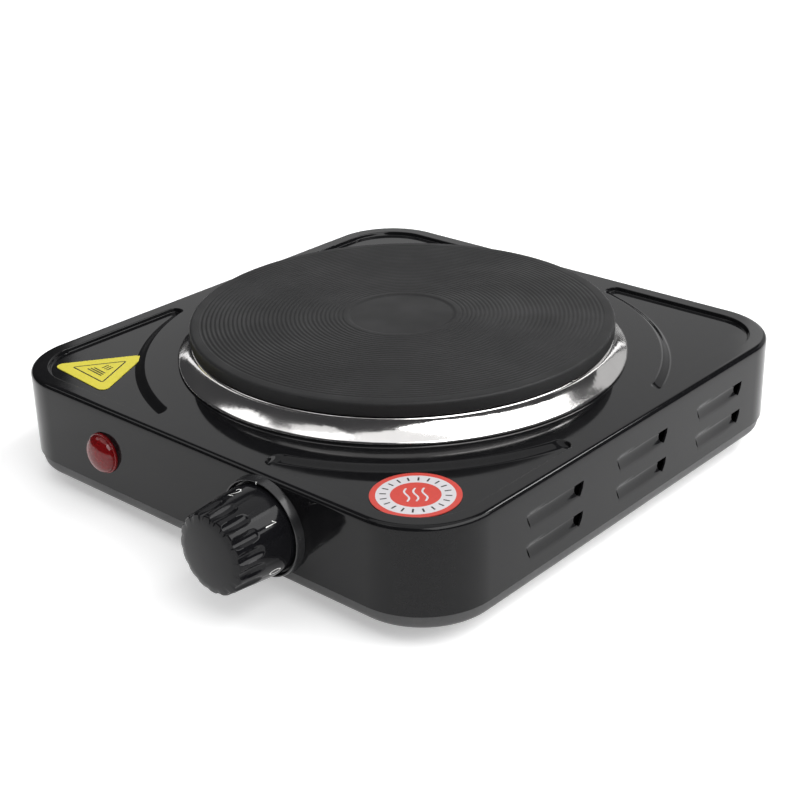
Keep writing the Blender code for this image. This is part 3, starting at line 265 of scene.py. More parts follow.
def shell_surface():
    bm = bmesh.new()
    shares = [side * share for side in (-1, 1) for share in (0.53, 0.5, 0.44, 0.15)]
    stops_y = sorted({middle + share * louvre_length for middle in louvre_middles for share in shares})
    stops_x = [x * mm for x in (-60, -40, -20, 0, 20, 40, 60)]
    rows = [shell_foot, shell_foot + 1.5 * mm]
    for middle in louvre_rows:
        rows += [middle - louvre_height / 2 - 1.2 * mm]
        rows += [middle + louvre_height * (k / louvre_steps - 0.5) for k in range(louvre_steps + 1)]
        rows += [middle + louvre_height / 2 + 1.2 * mm]
    levels = [(0, z) for z in rows] + [(0, shell_top - shell_round - 2 * mm)]
    turn = [math.pi / 2 * k / 9 for k in range(10)]
    levels += [(shell_round * (1 - math.cos(a)), shell_top - shell_round * (1 - math.sin(a))) for a in turn]
    levels.append((shell_round + 0.5 * mm, shell_top))
    paths = [walk_round(shell_x, shell_y, shell_corner, inset, stops_x, stops_y) for inset, _ in levels]
    loops = [[bm.verts.new((*p, z)) for p in path] for path, (_, z) in zip(paths, levels)]

    def louvre_at(i, j):
        """The row number of the louvre that this cell of the wall is in, or None."""
        (x, y), (next_x, next_y) = paths[0][i], paths[0][(i + 1) % len(paths[0])]
        if abs(abs(x) - shell_x) > 1e-6 or abs(abs(next_x) - shell_x) > 1e-6 or j + 1 >= len(rows):
            return None
        y, z = (y + next_y) / 2, (rows[j] + rows[j + 1]) / 2
        along = any(abs(y - m) < louvre_length / 2 for m in louvre_middles)
        up = [n for n, m in enumerate(louvre_rows) if abs(z - m) < louvre_height / 2]
        return up[0] if along and up else None

    pressed = {}

    def along_louvre(y, height, gap):
        """Where a point of the slot goes when its ends are rounded below and its strip is a gap shorter."""
        middle = min(louvre_middles, key=lambda m: abs(m - y))
        v = (y - middle) / (louvre_length / 2)
        back = louvre_round * max(1 - height, 0) ** 2
        if gap:
            back += 4 * height * (1 - height) * (louvre_far_gap if v > 0 else louvre_near_gap)
        return middle + v * (louvre_length / 2 - back), (v + 1) / 2

    def trough_corner(i, j, louvre):
        """A point of the pressed strip. It slopes in from its lower edge and turns sharply back at its upper."""
        i %= len(paths[0])
        height = (rows[j] - louvre_rows[louvre]) / louvre_height + 0.5
        if not 0.001 < height < 0.999:
            return loops[j][i]
        if (i, j) not in pressed:
            x, y = paths[0][i]
            y, v = along_louvre(y, height, gap=True)
            depth = louvre_near_depth + (louvre_far_depth - louvre_near_depth) * v
            depth *= height**1.3 * (1 - height) ** 0.45 / 0.369
            pressed[i, j] = bm.verts.new((x - math.copysign(depth, x), y, rows[j]))
        return pressed[i, j]

    for j, z in enumerate(rows):
        for middle in louvre_rows:
            height = (z - middle) / louvre_height + 0.5
            if -0.001 < height < 1.001:
                for i, (x, y) in enumerate(paths[0]):
                    at_end = any(abs(abs(y - m) - louvre_length / 2) < 1e-6 for m in louvre_middles)
                    if at_end and abs(abs(x) - shell_x) < 1e-6:
                        loops[j][i].co.y = along_louvre(y, height, gap=False)[0]

    join_loops(bm, loops, skip=lambda i, j: louvre_at(i, j) is not None)
    for j in range(len(rows) - 1):
        for i in range(len(paths[0])):
            louvre = louvre_at(i, j)
            if louvre is not None:
                cell = ((i, j), (i + 1, j), (i + 1, j + 1), (i, j + 1))
                bm.faces.new([trough_corner(a, b, louvre) for a, b in cell])
    bmesh.ops.delete(bm, geom=[v for v in bm.verts if not v.link_faces], context="VERTS")
    hole = [bm.verts.new((*p, shell_top)) for p in circle(opening_radius, 180)]
    collars = [press_panel(bm, x, y) for x in (-1, 1) for y in (-1, 1)]
    fill_flat(bm, [loops[-1], hole, *collars])
    for face in bm.faces:
        face.smooth = True
    return as_mesh(bm, "shell")


def cut_with(mesh, cutter, pieces_cross=False):
    """The mesh with the cutter's closed mesh taken out of it. pieces_cross: the cutter's pieces overlap."""
    tool = placed("cutter", cutter)

    def cut(worker):
        hole = worker.modifiers.new("cut", "BOOLEAN")
        hole.object = tool
        hole.solver = "EXACT"
        hole.use_self = pieces_cross

    made = settled(mesh, cut)
    bpy.data.objects.remove(tool)
    return made


def drilled(mesh, holes):
    """The mesh with round holes through its front or far wall: (x, z, radius, y) each, in body measures."""
    drill = bmesh.new()
    for x, z, radius, y in holes:
        place = Matrix.Translation((x, y, z)) @ Matrix.Rotation(math.pi / 2, 4, "X")
        bmesh.ops.create_cone(drill, cap_ends=True, segments=64, radius1=radius, radius2=radius, depth=8 * mm,
                              matrix=place)
    return cut_with(mesh, as_mesh(drill))


def thicken(worker):
    wall = worker.modifiers.new("sheet", "SOLIDIFY")
    wall.thickness = shell_sheet
    wall.offset = -1
    wall.use_even_offset = True
    wall.use_quality_normals = True


def middle_of(node):
    low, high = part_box(node)
    return (low + high) / 2 - body_centre


knob_x, knob_z = middle_of("knob_spindle").x, middle_of("knob_spindle").z
lens_x, lens_z = middle_of("pilot_lens").x, middle_of("pilot_lens").z
gland_x, gland_z = middle_of("cord_gland").x, middle_of("cord_gland").z
shell_mesh = settled(shell_surface(), thicken)
shell_mesh = drilled(shell_mesh, [
    (knob_x, knob_z, 5 * mm, -shell_y), (lens_x, lens_z, 5.9 * mm, -shell_y), (gland_x, gland_z, 6.5 * mm, shell_y)
])
enamel = finish("black_enamel", (0.006, 0.006, 0.0066), 0.08, mottle=0.3, grain=2.6 * mm, relief=0.0035 * mm,
                gloss_change=0.4, Specular_IOR_Level=0.21)
piece("enamelled_shell", shell_mesh, enamel, "body", ["housing"], sharp=40)


# ---------------------------------------------------------------- Base pan
# A shallow pressed tray of thin steel with a satin black paint. It closes the shell from below, and
# its floor has two columns of vent slots and a hole under each foot.
pan_low, pan_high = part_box("base_pan")
pan_x, pan_y = pan_high.x, (pan_high.y - pan_low.y) / 2
pan_inset = shell_x - pan_x
pan_round = 2.2 * mm
pan_lip = pan_high.z - pan_low.z
slot_start, slot_length, slot_width, slot_pitch, slots = 16 * mm, 46 * mm, 4 * mm, 16 * mm, 6
foot_x, foot_y = middle_of("foot_4").x, middle_of("foot_4").y
earth_x, earth_y = middle_of("earth_screw").x, middle_of("earth_screw").y


def pan_surface():
    bm = bmesh.new()
    turn = [math.pi / 2 * k / 8 for k in range(9)]
    levels = [(0, pan_lip), (0, 5 * mm), (0, pan_round + 0.4 * mm)]
    levels += [(pan_round * (1 - math.cos(a)), pan_round * (1 - math.sin(a))) for a in turn]
    levels.append((pan_round + 0.6 * mm, 0))
    loops = []
    for inset, z in levels:
        path = walk_round(pan_x, pan_y, shell_corner - pan_inset, inset)
        loops.append([bm.verts.new((*p, z)) for p in path])
    join_loops(bm, loops)
    holes = []
    for side in (-1, 1):
        for i in range(slots):
            x = side * (slot_start + slot_length / 2)
            y = (i - (slots - 1) / 2) * slot_pitch
            path = walk_round(slot_length / 2, slot_width / 2, 1.2 * mm, 0, corner_steps=5)
            holes.append([bm.verts.new((x + a, y + b, 0)) for a, b in path])
    for x, y in ((-foot_x, -foot_y), (-foot_x, foot_y), (foot_x, -foot_y), (foot_x, foot_y), (earth_x, earth_y)):
        holes.append([bm.verts.new((*p, 0)) for p in circle(2 * mm, 24, x, y)])
    fill_flat(bm, [loops[-1], *holes])
    return as_mesh(bm, "pan")


pan_paint = finish("satin_black_paint", (0.045, 0.045, 0.046), 0.42, mottle=0.2, grain=1.1 * mm, relief=0.006 * mm)
piece("painted_pan", settled(pan_surface(), thicken), pan_paint, "body", ["base_pan"])


# ---------------------------------------------------------------- Feet and their screws
# Four turned rubber feet, each held by a pan-head screw that goes up through the pan into a steel
# post. The screw sits deep in the foot, so that it never touches the table.
foot_radius, screw_head_radius = half_across(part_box("foot_4")), half_across(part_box("base_screw_4"))
foot_height = pan_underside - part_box("foot_4")[0].z
screw_low, screw_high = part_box("base_screw_4")


def eased(corners, closed=False, steps=5):
    """The (x, y) points of a section whose (x, y, radius) corners are rounded off."""
    points = []
    count = len(corners)
    for i, (x, y, radius) in enumerate(corners):
        at = Vector((x, y))
        if radius <= 0 or (not closed and i in (0, count - 1)):
            points.append((x, y))
            continue
        before, after = Vector(corners[i - 1][:2]), Vector(corners[(i + 1) % count][:2])
        back, on = before - at, after - at
        reach = min(radius, 0.48 * back.length, 0.48 * on.length)
        start, end = at + back.normalized() * reach, at + on.normalized() * reach
        for k in range(steps + 1):
            t = k / steps
            p = start * (1 - t) ** 2 + at * 2 * t * (1 - t) + end * t**2
            points.append((p.x, p.y))
    return points


def turned(section, steps=96):
    """A closed mesh turned about Z from the (radius, height) points of its section."""
    bm = bmesh.new()
    rings = []
    for radius, height in section:
        turn = [2 * math.pi * k / steps for k in range(steps)] if radius > 1e-7 else [0]
        rings.append([bm.verts.new((radius * math.cos(a), radius * math.sin(a), height)) for a in turn])
    if section[0][0] > 1e-7:
        rings.append(rings[0])
    for a, b in zip(rings, rings[1:]):
        for i in range(steps):
            k = (i + 1) % steps
            corners = [a[i % len(a)], b[i % len(b)], b[k % len(b)], a[k % len(a)]]
            corners = [v for n, v in enumerate(corners) if v not in corners[:n]]
            if len(corners) > 2:
                bm.faces.new(corners)
    return as_mesh(bm, "turned")


def new_tree(name, inputs):
    """An empty Geometry Nodes tree with these named inputs. Returns it, its input node and its output node."""
    tree = bpy.data.node_groups.new(name, "GeometryNodeTree")
    tree.interface.new_socket("Geometry", in_out="INPUT", socket_type="NodeSocketGeometry")
    for label, kind in inputs:
        tree.interface.new_socket(label, in_out="INPUT", socket_type="NodeSocket" + kind)
    tree.interface.new_socket("Geometry", in_out="OUTPUT", socket_type="NodeSocketGeometry")
    return tree, tree.nodes.new("NodeGroupInput"), tree.nodes.new("NodeGroupOutput")


def wire(tree, *joints):
    """Links (node, output, node, input) fours."""
    for source, output, target, socket in joints:
        tree.links.new(source.outputs[output], target.inputs[socket])


def wire_the_end(tree, start, end, last):
    """Realises what the last node gives and sets its material, as every tree here ends."""
    real = tree.nodes.new("GeometryNodeRealizeInstances")
    paint = tree.nodes.new("GeometryNodeSetMaterial")
    wire(tree, (last, 0, real, 0), (real, 0, paint, 0), (start, "Finish", paint, "Material"), (paint, 0, end, 0))


def grown(mesh, tree, values):
    """The plain mesh that the tree makes of a mesh, with its inputs set by their identifiers."""
    identifiers = {
        item.name: item.identifier for item in tree.interface.items_tree if item.in_out == "INPUT"
    }

    def modify(worker):
        made = worker.modifiers.new(tree.name, "NODES")
        made.node_group = tree
        for label, value in values.items():
            made[identifiers[label]] = value

    return settled(mesh, modify)


def corner_tree():
    """Sets a copy of the piece at the four corners of a rectangle."""
    inputs = [("Spacing X", "Float"), ("Spacing Y", "Float"), ("Finish", "Material")]
    tree, start, end = new_tree("four_corners", inputs)
    grid = tree.nodes.new("GeometryNodeMeshGrid")
    grid.inputs["Vertices X"].default_value = grid.inputs["Vertices Y"].default_value = 2
    copies = tree.nodes.new("GeometryNodeInstanceOnPoints")
    wire(tree, (start, "Spacing X", grid, "Size X"), (start, "Spacing Y", grid, "Size Y"),
         (grid, "Mesh", copies, "Points"), (start, "Geometry", copies, "Instance"))
    wire_the_end(tree, start, end, copies)
    return tree


def cross_screw(head_radius, head_height, shank_radius, shank_length):
    """A pan-head screw with a cross recess. Its head is up, and the underside of the head at 0."""
    section = eased([
        (0, head_height, 0), (head_radius * 0.55, head_height, head_radius * 0.4),
        (head_radius, head_height * 0.45, head_radius * 0.3), (head_radius, 0, 0.1 * mm), (shank_radius, 0, 0),
        (shank_radius, -shank_length, 0.3 * mm), (0, -shank_length, 0)
    ])
    cross = bmesh.new()
    for turn in (0, math.pi / 2):
        place = Matrix.Translation((0, 0, head_height)) @ Matrix.Rotation(turn, 4, "Z")
        size = Matrix.Diagonal((head_radius * 1.15, head_radius * 0.26, head_height * 1.3, 1))
        bmesh.ops.create_cube(cross, size=1, matrix=place @ size)
    return cut_with(turned(section, 40), as_mesh(cross), pieces_cross=True)


four_corners = corner_tree()
foot_hole, foot_recess = 2 * mm, 4.2 * mm
foot_section = eased([
    (foot_hole, 0, 0), (foot_radius, 0, 0.3 * mm), (foot_radius * 0.9, -foot_height, 1.3 * mm),
    (foot_recess, -foot_height, 0.5 * mm), (foot_recess, 3.4 * mm - foot_height, 0.2 * mm),
    (foot_hole, 3.4 * mm - foot_height, 0)
], closed=True)
rubber = finish("black_rubber", (0.018, 0.018, 0.018), 0.72, mottle=0.25, grain=0.7 * mm, relief=0.02 * mm)
spacing = {"Spacing X": 2 * foot_x, "Spacing Y": 2 * foot_y}
feet = grown(turned(foot_section, 56), four_corners, dict(spacing, Finish=rubber))
piece("rubber_feet", feet, None, "body", [f"foot_{i}" for i in (1, 2, 3, 4)])

zinc = finish("bright_zinc_plate", (0.62, 0.63, 0.65), 0.3, 1.0, mottle=0.12, grain=0.9 * mm, relief=0.004 * mm)
head_top = screw_low.z - pan_underside
screw = cross_screw(screw_head_radius, 2 * mm, 1.7 * mm, screw_high.z - screw_low.z - 2 * mm)
screw.transform(Matrix.Translation((0, 0, head_top + 2 * mm)) @ Matrix.Rotation(math.pi, 4, "X"))
screws = grown(screw, four_corners, dict(spacing, Finish=zinc))
piece("foot_screws", screws, None, "body", [f"base_screw_{i}" for i in (1, 2, 3, 4)])


# ---------------------------------------------------------------- Cast-iron hot plate
# A round casting with a matt black heat-proof coat. Its top is turned with fine round grooves, 1.6 mm
# apart, from the smooth, slightly sunken centre out to the rim.
plate_top = plate_high.z - pan_underside
plate_seat = plate_top - 5.1 * mm
plate_foot = plate_low.z - pan_underside
plate_skirt = plate_radius - 5.5 * mm
plate_wall, boss_radius, stud_bore, centre_radius, centre_drop = 4 * mm, 12 * mm, 3.2 * mm, 20 * mm, 0.4 * mm
groove_pitch, groove_depth = 1.6 * mm, 0.14 * mm
groove_first, groove_last = 21.2 * mm, plate_radius - 3.2 * mm


def plate_section():
    """The right-hand half of the casting, from the middle of its top round to the middle of its underside."""
    dense = [k * 0.1 * mm for k in range(int(groove_first / mm) * 10, int((plate_radius - 1.6 * mm) / mm) * 10)]
    centre, under = plate_top - centre_drop, plate_seat - 0.1 * mm
    corners = [
        (0, centre, 0), (boss_radius, centre, 0), (centre_radius - 1.1 * mm, centre, 0.5 * mm),
        (centre_radius, plate_top, 0.5 * mm), (groove_first - 0.3 * mm, plate_top, 0),
        *[(r, plate_top, 0) for r in dense], (plate_radius, plate_top, 1.3 * mm),
        (plate_radius, plate_seat, 0.7 * mm), (plate_skirt, plate_seat, 0.5 * mm),
        (plate_skirt, plate_foot, 0.6 * mm), (plate_skirt - plate_wall, plate_foot, 0.6 * mm),
        (plate_skirt - plate_wall, under, 1.5 * mm),
        (boss_radius, under, 1.5 * mm), (boss_radius, plate_foot, 0.6 * mm), (stud_bore, plate_foot, 0.3 * mm),
        (stud_bore, plate_seat + 0.9 * mm, 0), (0, plate_seat + 0.9 * mm, 0),
    ]
    return eased(corners, steps=6)


def grooved_turning_tree():
    """Grooves the top of a section that lies in the XZ plane, then turns it about Z."""
    tree, start, end = new_tree("grooved_turning", [
        ("Top", "Float"), ("First", "Float"), ("Last", "Float"), ("Pitch", "Float"), ("Depth", "Float"),
        ("Axis offset", "Float"), ("Steps", "Int"), ("Finish", "Material")
    ])
    nodes, link = tree.nodes, tree.links.new

    def maths(operation, a, b, c=None):
        node = nodes.new("ShaderNodeMath")
        node.operation = operation
        for socket, value in zip(node.inputs, (a, b, c)):
            if isinstance(value, (int, float)):
                socket.default_value = value
            elif value is not None:
                link(value, socket)
        return node.outputs[0]

    place = nodes.new("GeometryNodeInputPosition")
    split = nodes.new("ShaderNodeSeparateXYZ")
    link(place.outputs[0], split.inputs[0])
    radius, height = split.outputs["X"], split.outputs["Z"]
    turns = maths("DIVIDE", maths("SUBTRACT", radius, start.outputs["First"]), start.outputs["Pitch"])
    wave = maths("COSINE", maths("MULTIPLY", turns, 2 * math.pi), 0)
    dip = maths("MULTIPLY", maths("SUBTRACT", wave, 1), maths("MULTIPLY", start.outputs["Depth"], 0.5))
    inside = maths("MULTIPLY", maths("GREATER_THAN", radius, start.outputs["First"]),
                   maths("LESS_THAN", radius, start.outputs["Last"]))
    on_top = maths("LESS_THAN", maths("ABSOLUTE", maths("SUBTRACT", height, start.outputs["Top"]), 0), 1e-6)
    drop = nodes.new("ShaderNodeCombineXYZ")
    link(maths("MULTIPLY", dip, maths("MULTIPLY", inside, on_top)), drop.inputs["Z"])
    grooved = nodes.new("GeometryNodeSetPosition")
    link(start.outputs["Geometry"], grooved.inputs["Geometry"])
    link(drop.outputs[0], grooved.inputs["Offset"])
    flat = nodes.new("GeometryNodeSetPosition")
    lie = nodes.new("ShaderNodeCombineXYZ")
    link(maths("SUBTRACT", radius, start.outputs["Axis offset"]), lie.inputs["X"])
    link(maths("MULTIPLY", height, -1), lie.inputs["Y"])
    link(grooved.outputs[0], flat.inputs["Geometry"])
    link(lie.outputs[0], flat.inputs["Position"])
    section = nodes.new("GeometryNodeMeshToCurve")
    path = nodes.new("GeometryNodeCurvePrimitiveCircle")
    swept = nodes.new("GeometryNodeCurveToMesh")
    closed = nodes.new("GeometryNodeMergeByDistance")
    closed.inputs["Distance"].default_value = 0.001 * mm
    wire(tree, (flat, 0, section, "Mesh"), (start, "Steps", path, "Resolution"),
         (start, "Axis offset", path, "Radius"), (path, "Curve", swept, "Curve"),
         (section, "Curve", swept, "Profile Curve"), (swept, 0, closed, "Geometry"))
    wire_the_end(tree, start, end, closed)
    return tree


def outwards(mesh):
    """The mesh with its doubles merged and its faces turned outwards."""
    bm = bmesh.new()
    bm.from_mesh(mesh)
    bmesh.ops.remove_doubles(bm, verts=bm.verts, dist=0.0005 * mm)
    bmesh.ops.recalc_face_normals(bm, faces=bm.faces)
    bm.to_mesh(mesh)
    bm.free()
    return mesh


iron = finish("black_coated_iron", (0.013, 0.013, 0.0135), 0.54, mottle=0.45, grain=0.45 * mm, relief=0.016 * mm,
              gloss_change=0.15, middle=(0, body_centre.y, 0), Specular_IOR_Level=0.33)
half_section = plate_section()
section_mesh = bpy.data.meshes.new("plate_section")
section_mesh.from_pydata([(r, 0, z) for r, z in half_section], [(i, i + 1) for i in range(len(half_section) - 1)], [])
plate_mesh = grown(section_mesh, grooved_turning_tree(), {
    "Top": plate_top, "First": groove_first, "Last": groove_last, "Pitch": groove_pitch, "Depth": groove_depth,
    "Axis offset": 40 * mm, "Steps": 160, "Finish": iron
})
piece("grooved_plate", outwards(plate_mesh), None, "body", ["hot_plate"], sharp=50)


# ---------------------------------------------------------------- Chromed trim ring
# A spun ring of thin steel, chromed and polished. It flares out from under the plate down to the
# collar of the shell, with its foot rolled under, and covers the opening.
ring_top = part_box("trim_ring")[1].z - pan_underside
ring_foot = shell_top + 0.05 * mm
ring_sheet = 0.7 * mm


def ring_section():
    outer = []
    height = ring_top - ring_foot
    for k in range(15):
        t = k / 14
        outer.append((plate_radius - 0.3 * mm + (ring_radius - plate_radius + 0.3 * mm) * t**1.5,
                      ring_top - 0.4 * mm - (height - 1.1 * mm) * t, 0))
    inner = [(r - ring_sheet * 0.9, z - ring_sheet * 0.35, 0) for r, z, _ in reversed(outer)]
    under = ring_radius - 1.2 * mm
    return eased([
        (plate_skirt + 1.4 * mm, ring_top, 0), (plate_radius - 1.2 * mm, ring_top, 0.6 * mm), *outer,
        (ring_radius, ring_foot + 0.1 * mm, 0.35 * mm), (under, ring_foot, 0.2 * mm), *inner,
        (plate_radius - 1.6 * mm, ring_top - ring_sheet, 0.4 * mm), (plate_skirt + 1.4 * mm, ring_top - ring_sheet, 0)
    ], closed=True, steps=4)


chrome = finish("polished_chrome", (0.8, 0.785, 0.775), 0.13, 1.0, mottle=0.08, grain=9 * mm, patch=26 * mm,
                relief=0.14 * mm, gloss_change=0.4, middle=(0, body_centre.y, 0))
piece("chromed_ring", turned(ring_section(), 200), chrome, "body", ["trim_ring"], sharp=60)


# ---------------------------------------------------------------- Control knob
# A moulded knob of glossy black plastic with sixteen thumb scoops round its front edge and a domed
# face. White figures 0 to 4 are printed on its skirt. It pushes onto the flat of the steel spindle.
front_wall = -shell_y


def on_wall(x, y, z):
    """The place of a piece that stands on the front or the far wall, its own Z axis pointing out of it."""
    outwards_turn = math.copysign(math.pi / 2, -y)
    return body_place @ Matrix.Translation((x, y, z)) @ Matrix.Rotation(outwards_turn, 4, "X")


knob_place = on_wall(knob_x, front_wall, knob_z)
knob_reach = body_centre.y + front_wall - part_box("control_knob")[0].y
knob_scoops = 16
knob_front, knob_back = 13.8 * mm, 15.3 * mm
knob_edge = knob_reach - 2.2 * mm
knob_skirt = [(knob_front, knob_edge), (14.5 * mm, 15 * mm), (15.1 * mm, 8 * mm), (knob_back, 2 * mm)]
scoop_radius, scoop_bite, scoop_length = 2.6 * mm, 0.9 * mm, 8.6 * mm


def skirt_radius(h):
    for (r1, h1), (r2, h2) in zip(knob_skirt, knob_skirt[1:]):
        if h >= h2:
            return r2 + (r1 - r2) * (h - h2) / (h1 - h2)
    return knob_back


def scooped(radius, h, angle):
    """The radius of the knob there once the scoop centred on angle 0 is taken out."""
    behind = min(max((knob_edge - h) / scoop_length, 0), 1)
    rise = scoop_bite + skirt_radius(knob_edge - scoop_length) - knob_front
    middle = knob_front - scoop_bite + scoop_radius + rise * (1 - math.sqrt(1 - behind**2.6))
    across = scoop_radius**2 - (middle * math.sin(angle)) ** 2
    if across <= 0:
        return radius
    cut = middle * math.cos(angle) - math.sqrt(across)
    soft = 0.14 * mm
    share = min(max(0.5 + (cut - radius) / (2 * soft), 0), 1)
    return cut * (1 - share) + radius * share - soft * share * (1 - share)


def knob_sector():
    """One sixteenth of the knob, with a scoop in its middle."""
    tip = knob_reach
    wall = 2.2 * mm
    bore, hub = 3.3 * mm, 5.6 * mm
    hollow = tip - 10 * mm
    face = [(11.2 * mm * t, tip - 0.75 * mm * t**2.2, 0) for t in [k / 12 for k in range(13)]]
    outer = eased([*face, (13.5 * mm, tip - 1.5 * mm, 2 * mm), (knob_front, knob_edge, 0)], steps=8)[:-1]
    outer += [(skirt_radius(h), h) for h in [knob_edge - scoop_length * 1.1 * k / 30 for k in range(31)]]
    outer += eased([(15.1 * mm, 8 * mm, 0), (knob_back, 2 * mm, 0.4 * mm), (knob_back - wall, 2 * mm, 0)])
    inner = eased([
        (knob_back - wall, 2.01 * mm, 0), (knob_back - wall - mm, hollow, mm), (hub, hollow, 0.6 * mm),
        (hub, 5 * mm, 0.3 * mm), (bore, 5 * mm, 0.2 * mm), (bore, 17.8 * mm, 0), (0, 17.8 * mm, 0)
    ])
    columns = 24
    sector = 2 * math.pi / knob_scoops
    bm = bmesh.new()
    rows = []
    for n, (radius, h) in enumerate([*outer, *inner]):
        row = []
        for k in range(columns + 1):
            angle = sector * (k / columns - 0.5)
            r = scooped(radius, h, angle) if n < len(outer) and h > 12 * mm else radius
            row.append(bm.verts.new((r * math.cos(angle), r * math.sin(angle), h)))
        rows.append(row)
    for low, high in zip(rows, rows[1:]):
        for k in range(columns):
            bm.faces.new((low[k], high[k], high[k + 1], low[k + 1]))
    mesh = bpy.data.meshes.new("knob_sector")
    bm.to_mesh(mesh)
    bm.free()
    return mesh


def round_tree():
    """Sets copies of the piece evenly round the Z axis and joins where they meet."""
    inputs = [("Count", "Int"), ("First turn", "Float"), ("Finish", "Material")]
    tree, start, end = new_tree("round_the_axis", inputs)
    nodes = tree.nodes
    points = nodes.new("GeometryNodeMeshLine")
    points.inputs["Offset"].default_value = (0, 0, 0)
    number = nodes.new("GeometryNodeInputIndex")
    step = nodes.new("ShaderNodeMath")
    step.operation = "DIVIDE"
    step.inputs[0].default_value = 2 * math.pi
    turn = nodes.new("ShaderNodeMath")
    turn.operation = "MULTIPLY_ADD"
    rotation = nodes.new("ShaderNodeCombineXYZ")
    copies = nodes.new("GeometryNodeInstanceOnPoints")
    real = nodes.new("GeometryNodeRealizeInstances")
    merged = nodes.new("GeometryNodeMergeByDistance")
    merged.inputs["Distance"].default_value = 0.002 * mm
    wire(tree, (start, "Count", points, "Count"), (start, "Count", step, 1), (number, 0, turn, 0), (step, 0, turn, 1),
         (start, "First turn", turn, 2), (turn, 0, rotation, "Z"), (points, "Mesh", copies, "Points"),
         (start, "Geometry", copies, "Instance"), (rotation, 0, copies, "Rotation"), (copies, 0, real, 0),
         (real, 0, merged, "Geometry"))
    wire_the_end(tree, start, end, merged)
    return tree


round_the_axis = round_tree()
gloss_black = finish("gloss_black_plastic", (0.006, 0.006, 0.007), 0.11, mottle=0.2, grain=1.2 * mm,
                     relief=0.0015 * mm, gloss_change=0.35, Specular_IOR_Level=0.2)
knob_mesh = grown(knob_sector(), round_the_axis, {
    "Count": knob_scoops, "First turn": math.pi / knob_scoops, "Finish": gloss_black
})
piece("scooped_knob", outwards(knob_mesh), None, "knob", ["control_knob"], knob_place, 42)

figure_height, figure_width, figure_pen = 4.1 * mm, 2.1 * mm, 0.42 * mm
figure_middle, figure_first, figure_pitch = 9.4 * mm, math.radians(-31), math.radians(66)


def pen_strokes(lines, width, rise=0.03 * mm):
    """Printed lines as a mesh, each drawn by a round pen through (x, y) points. A loop ends where it began."""
    curve = bpy.data.curves.new("pen", "CURVE")
    curve.dimensions = "3D"
    curve.bevel_depth = width / 2
    curve.bevel_resolution = 2
    curve.use_fill_caps = True
    for line in lines:
        closed = line[0] == line[-1]
        spline = curve.splines.new("POLY")
        spline.use_cyclic_u = closed
        points = line[:-1] if closed else line
        spline.points.add(len(points) - 1)
        for point, (x, y) in zip(spline.points, points):
            point.co = (x, y, 0, 1)
    worker = placed("pen", curve)
    mesh = bpy.data.meshes.new_from_object(worker.evaluated_get(bpy.context.evaluated_depsgraph_get()))
    bpy.data.objects.remove(worker)
    mesh.transform(Matrix.Diagonal((1, 1, 2 * rise / width, 1)))
    return mesh


def bow(x, y, across, up, first, last, steps=14):
    """Points along part of an ellipse, between two angles in degrees."""
    turn = [math.radians(first + (last - first) * k / steps) for k in range(steps + 1)]
    return [(x + across * math.cos(a), y + up * math.sin(a)) for a in turn]


oval = bow(0.5, 0.5, 0.5, 0.5, 90, 450, 24)
figure_lines = [
    [[*oval[:-1], oval[0]]],
    [[(0.12, 0.74), (0.55, 1), (0.55, 0)]],
    [[*bow(0.5, 0.71, 0.48, 0.29, 165, -30), (0.02, 0), (1, 0)]],
    [bow(0.45, 0.76, 0.45, 0.24, 150, -90), bow(0.45, 0.26, 0.52, 0.26, 90, -150)],
    [[(0.74, 0), (0.74, 1)], [(0.74, 1), (0, 0.3), (1, 0.3)]],
]
figures_bm = bmesh.new()
for number, lines in enumerate(figure_lines):
    sized = [[((x - 0.5) * figure_width, (y - 0.5) * figure_height) for x, y in line] for line in lines]
    figure = pen_strokes(sized, figure_pen)
    for vertex in figure.vertices:
        x, y, z = vertex.co
        h = figure_middle - y
        radius = skirt_radius(h) + z
        turn = figure_first + number * figure_pitch - x / radius
        vertex.co = (radius * math.cos(turn), radius * math.sin(turn), h)
    figures_bm.from_mesh(figure)
figures = as_mesh(figures_bm, "figures")
white_print = finish("white_print", (0.8, 0.8, 0.78), 0.45, mottle=0.08, grain=0.4 * mm, relief=0.003 * mm)
piece("knob_figures", figures, white_print, "knob", [], knob_place)


# ---------------------------------------------------------------- Knob bezel
# A shallow dished ring of black moulding round the knob, a little taller than the wall is flat. It is
# clamped by the bush of the spindle. A short white mark at its top shows the setting.
bezel_radius = half_across(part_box("knob_bezel"))
bezel_height = 3.2 * mm
bezel_section = eased([
    (5 * mm, 1.2 * mm, 0), (16 * mm, 1.2 * mm, 0.5 * mm), (16.15 * mm, bezel_height, 0.35 * mm),
    (bezel_radius - 0.55 * mm, bezel_height, 0.5 * mm), (bezel_radius, 0.02 * mm, 0.1 * mm), (5 * mm, 0.02 * mm, 0)
], closed=True)
satin_black = finish("satin_black_moulding", (0.016, 0.016, 0.017), 0.24, mottle=0.2, grain=0.8 * mm,
                     relief=0.004 * mm)
bezel_mesh = turned(bezel_section, 120)
piece("bezel_ring", bezel_mesh, satin_black, "body", ["knob_bezel"], knob_place)

mark = bmesh.new()
mark_place = Matrix.Translation((0, bezel_radius - 0.85 * mm, bezel_height + 0.02 * mm))
bmesh.ops.create_cube(mark, size=1, matrix=mark_place @ Matrix.Diagonal((0.6 * mm, 0.9 * mm, 0.1 * mm, 1)))
bmesh.ops.bevel(mark, geom=mark.edges, offset=0.03 * mm, segments=2, affect="EDGES")
piece("setting_mark", as_mesh(mark), white_print, "body", [], knob_place)


